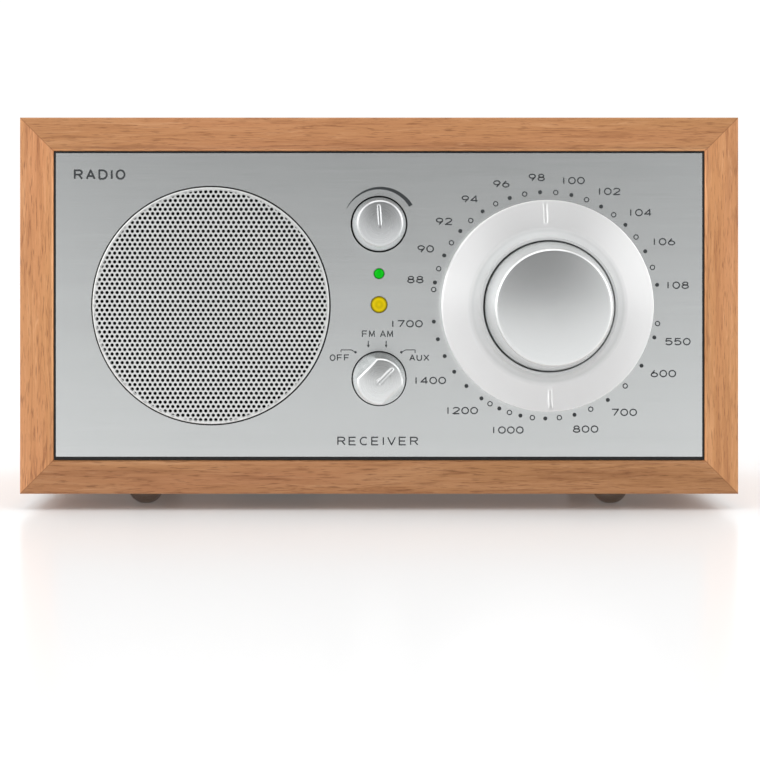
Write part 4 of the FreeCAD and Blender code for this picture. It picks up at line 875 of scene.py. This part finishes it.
class Print:
    """Flat ink shapes gathered in the front's plan, made into one thin raised layer."""

    def __init__(self):
        self.points = []
        self.faces = []
        self.lifts = []

    def add(self, points, faces):
        """Add a shape a hair higher than the last, so that no two overlap in one plane."""
        first = len(self.points)
        lift = 0.004 * (len(self.faces) % 5)
        self.points += points
        self.lifts += [lift] * len(points)
        self.faces += [[first + index for index in face] for face in faces]

    def ribbon(self, line, width, closed=False):
        """A stroke of even width along a line of points, with round joins at sharp corners."""
        if not closed:
            for index in range(1, len(line) - 1):
                before, here, after = (Vector(line[index + step]) for step in (-1, 0, 1))
                if (here - before).angle(after - here) > math.radians(50):
                    self.disc(line[index], width / 2, 10)
                    self.ribbon(line[:index + 1], width)
                    self.ribbon(line[index:], width)
                    return
        count = len(line)
        edges = []
        for index, here in enumerate(line):
            before = line[(index - 1) % count] if closed or index else None
            after = line[(index + 1) % count] if closed or index < count - 1 else None
            into = (Vector(here) - Vector(before)).normalized() if before else None
            onward = (Vector(after) - Vector(here)).normalized() if after else None
            into, onward = into or onward, onward or into
            along = (into + onward).normalized()
            side = Vector((-along.y, along.x))
            reach = width / 2 / side.dot(Vector((-into.y, into.x)))
            for sign in (1, -1):
                spot = Vector(here) + side * reach * sign
                edges.append((spot.x, spot.y))
        faces = []
        for index in range(count if closed else count - 1):
            a, b = 2 * index, 2 * ((index + 1) % count)
            faces.append([a, a + 1, b + 1, b])
        self.add(edges, faces)

    def disc(self, middle, radius, steps=20):
        self.add(arc(middle, radius, 0, 360, steps)[:-1], [list(range(steps))])

    def circle(self, middle, radius, width):
        self.ribbon(arc(middle, radius, 0, 360, 28)[:-1], width, True)

    def shape(self, outline):
        self.add(outline, [list(range(len(outline)))])

    def length(self, words, wide, gap):
        return sum(wide * NARROW.get(letter, 1.0) for letter in words) + gap * (len(words) - 1)

    def text(self, words, middle, tall, wide, gap, width):
        """Words centred on a point. wide is a letter's width and gap the space between two."""
        left = middle[0] - self.length(words, wide, gap) / 2
        low = middle[1] - tall / 2
        for letter in words:
            span = wide * NARROW.get(letter, 1.0)
            for stroke in STROKES[letter]:
                self.stroke(stroke, left, low, span, tall, width)
            left += span + gap

    def stroke(self, stroke, left, low, span, tall, width):
        """One of a letter's strokes, in a box that starts at left and low."""
        line, inset = [], width / 2
        scale_x, scale_y = max(span - width, 0.01), tall - width
        closed = False
        for item in stroke:
            if item[0] == "o":
                _, x, y, across, up, start, end = item
                steps = max(8, int(abs(end - start) / 12))
                closed = len(stroke) == 1 and abs(end - start) >= 360
                for step in range(steps + (0 if closed else 1)):
                    angle = math.radians(start + (end - start) * step / steps)
                    spot = (x + across * math.cos(angle), y + up * math.sin(angle))
                    if not line or math.dist(spot, line[-1]) > 1e-6:
                        line.append(spot)
            else:
                line.append(item)
        spots = [(left + inset + x * scale_x, low + inset + y * scale_y) for x, y in line]
        self.ribbon(spots, width, closed)

    def make(self, name):
        count, front, back = len(self.points), 0.03, 0.005
        points = [to_row(x, y, out + lift) for out in (front, back)
                  for (x, y), lift in zip(self.points, self.lifts)]
        faces = list(self.faces) + [[count + index for index in reversed(face)]
                                    for face in self.faces]
        for face in self.faces:
            for a, b in zip(face, face[1:] + face[:1]):
                faces.append([a, b, count + b, count + a])
        mesh = bpy.data.meshes.new(name)
        mesh.from_pydata([tuple(point) for point in points], [], faces)
        install(placed(name, mesh), "cabinet", "black_plastic", INK)


def around(centre, radius, clockwise):
    """A point at an angle clockwise from the top, in millimetres on the front's plan."""
    angle = math.radians(clockwise)
    return (centre.x / MM + radius * math.sin(angle), centre.z / MM + radius * math.cos(angle))


def fm_angle(frequency):
    """The FM scale opens slightly towards its top end."""
    step = frequency - 88
    return -78.4 + 7.2 * step + 0.035 * step ** 2


def fm_dot_angle(frequency):
    """The FM dots lag a little behind their numbers between 102 and 108 MHz."""
    late = max(0.0, frequency - 102)
    return fm_angle(frequency) - 1.2 * math.sin(math.radians(30 * late))


def am_angle(frequency):
    """The AM scale is nearly logarithmic between 550 and 1700 kHz."""
    share = math.log(frequency / 550) / math.log(1700 / 550)
    bend = 0.1246 * share * (1 - share) + 0.2577 * share * (1 - share) * (1 - 2 * share)
    return 106.5 + 155.2 * (share + bend)


def dial_scale():
    """Dots and numbers round the dial: FM over the top, AM under it."""
    ink = Print()
    dots, clear = 33.6, 3.3
    tall, wide, gap, width = 2.2, 2.3, 0.36, 0.36
    raised = {"102": 0.65, "104": 1.0, "106": 1.35, "108": -0.9}
    filled = [fm_dot_angle(value) for value in range(88, 109, 2)]
    filled += [am_angle(value) for value in (550, *range(600, 1701, 100))]
    opened = [fm_dot_angle(value) for value in (87.5, *range(89, 108, 2))]
    opened += [am_angle(value) for value in (530, *range(650, 1200, 100))]
    for angle in filled:
        ink.disc(around(TUNING, dots, angle), 0.6)
    for angle in opened:
        ink.circle(around(TUNING, dots, angle), 0.65, 0.3)
    labels = [(fm_angle(value), str(value), True) for value in range(88, 109, 2)]
    labels += [(am_angle(value), str(value), False)
               for value in (550, 600, 700, 800, 1000, 1200, 1400, 1700)]
    for angle, words, upper in labels:
        length = ink.length(words, wide, gap)
        across, up = math.sin(math.radians(angle)), math.cos(math.radians(angle))
        lean = abs(across) if upper else min(1.0, 0.5 + 0.55 * abs(across))
        x, z = around(TUNING, dots + clear, angle)
        x += math.copysign(length / 2 * lean, across) - (0.7 * up if upper else 0.0)
        z += tall / 2 * up + raised.get(words, 0.0)
        ink.text(words, (x, z), tall, wide, gap, width)
    ink.make("dial_scale_print")


def volume_wedge(ink):
    """The wedge over the volume knob, which widens clockwise."""
    start, sweep, radius, steps = -65, 125, 10.6, 40
    outer, inner = [], []
    for step in range(steps + 1):
        share = step / steps
        angle = start + sweep * share
        near = radius - 0.3 * min(1.0, 4 * share)
        inner.append(around(VOLUME, near, angle))
        outer.append(around(VOLUME, near + 0.05 + 1.15 * share ** 0.7, angle))
    for index in range(steps):
        ink.shape([inner[index], inner[index + 1], outer[index + 1], outer[index]])


def selector_marks(ink):
    """The selector's words, two arrows down to it and two bent leaders."""
    x0, z0 = MODE.x / MM, MODE.z / MM
    for words, x in (("FM", -3.2), ("AM", 2.2)):
        ink.text(words, (x0 + x, z0 + 13.25), 2.05, 1.8, 0.32, 0.3)
    for words, x in (("OFF", -11.7), ("AUX", 11.95)):
        ink.text(words, (x0 + x, z0 + 6.2), 1.95, 1.75, 0.34, 0.31)
    for x in (-3.2, 2.1):
        ink.ribbon([(x0 + x, z0 + 11.2), (x0 + x, z0 + 9.6)], 0.28)
        ink.shape([(x0 + x - 0.42, z0 + 10.0), (x0 + x, z0 + 9.1), (x0 + x + 0.42, z0 + 10.0)])
    for side, line in ((-1, ((11.3, 7.8), (11.3, 8.5), (8.2, 8.5), (7.0, 7.8))),
                       (1, ((10.7, 7.6), (10.7, 8.5), (7.9, 8.5), (6.6, 7.8)))):
        ink.ribbon([(x0 + side * x, z0 + y) for x, y in line], 0.24)
        ink.disc((x0 + side * line[-1][0], z0 + line[-1][1]), 0.38, 12)


def front_marks():
    """The marks of the two small knobs, and two generic words."""
    ink = Print()
    volume_wedge(ink)
    selector_marks(ink)
    ink.text("RECEIVER", (MODE.x / MM - 0.4, 20.5), tall=2.6, wide=2.6, gap=0.75, width=0.38)
    ink.text("RADIO", (-83.0, 99.6), tall=3.1, wide=2.9, gap=0.75, width=0.56)
    ink.make("front_print")


# ---------------------------------------------------------------- stage


def stage():
    """A pale glossy light table and soft studio light."""
    bpy.ops.mesh.primitive_plane_add(size=8.0, location=(0, 0, 0))
    floor = bpy.context.object
    floor.name = "floor"
    shader = Shader("floor_white")
    marks = shader.noise(shader.place, 3.0, 2.0, 0.5)
    tint = shader.ramp(marks, (0.3, (0.81, 0.815, 0.82)), (0.7, (0.83, 0.835, 0.84)))
    shader.set(Base_Color=tint, Roughness=0.2, IOR=1.14, Emission_Color=(1.0, 0.93, 0.88),
               Emission_Strength=0.078)
    floor.data.materials.append(shader.material)
    studio_world()
    softbox("key_light", place=(-0.1, -0.35, 0.95), target=(0, 0, 0.05), side=0.9, power=1.6)


def studio_world():
    """White all round, brighter at the sides, with a grey patch in front by the camera."""
    world = bpy.data.worlds.new("studio")
    bpy.context.scene.world = world
    world.use_nodes = True
    nodes = Nodes(world.node_tree)
    direction = nodes.node("ShaderNodeTexCoord", {}).outputs["Generated"]

    def facing(x, y, z):
        """How nearly a direction points along (x, y, z)."""
        inputs = {0: direction, 1: Vector((x, y, z)).normalized()}
        node = nodes.node("ShaderNodeVectorMath", inputs, operation="DOT_PRODUCT")
        return node.outputs["Value"]

    def smooth(value, start, end, low=0.0, high=1.0):
        return nodes.span(value, low, high, start, end, "SMOOTHSTEP")

    white, darker = 1.05, 0.84
    off_axis = nodes.maths("ABSOLUTE", nodes.maths("SUBTRACT", facing(1, 0, 0), 0.12))
    near = nodes.maths("MULTIPLY", smooth(facing(0, -1, 0), 0.1, 0.5),
                       smooth(off_axis, 0.25, 0.62, 1.0, 0.0))
    patch = nodes.maths("MULTIPLY", near, smooth(facing(0, 0, 1), 0.56, 0.91, 1.0, 0.0))
    left = smooth(facing(-1.0, -0.45, 0.05), 0.5, 0.95)
    right = smooth(facing(1.0, -0.45, 0.05), 0.5, 0.95)
    front = nodes.maths("SUBTRACT", white, nodes.maths("MULTIPLY", patch, darker))
    level = nodes.maths("ADD", front, nodes.maths("ADD", left, right))
    nodes.feed(nodes.tree.nodes["Background"].inputs["Color"], level)


def softbox(name, place, target, side, power):
    light = bpy.data.lights.new(name, "AREA")
    light.size = side
    light.energy = power
    holder = placed(name, light)
    holder.location = place
    aim = Vector(target) - Vector(place)
    holder.rotation_euler = aim.to_track_quat("-Z", "Y").to_euler()


def camera():
    """A level view from a little left of the middle, two thirds of the way up."""
    lens = bpy.data.cameras.new("camera")
    lens.sensor_width = 36.0
    lens.lens = 95.1
    lens.shift_x = 0.050
    lens.shift_y = -0.171
    holder = placed("camera", lens)
    holder.location = (-0.011, PLATE_FRONT - 0.596, 0.0772)
    holder.rotation_euler = (math.radians(90), 0, 0)
    bpy.context.scene.camera = holder
    bpy.context.scene.view_settings.view_transform = "Standard"


camera()
stage()
paint_nodes()
cabinet()
perforated_grille()
volume_knob()
mode_knob()
tuning_knob()
dial_ring()
faceplate_seal()
grille_seal()
cone_surround()
cone_spider()
dial_scale()
front_marks()
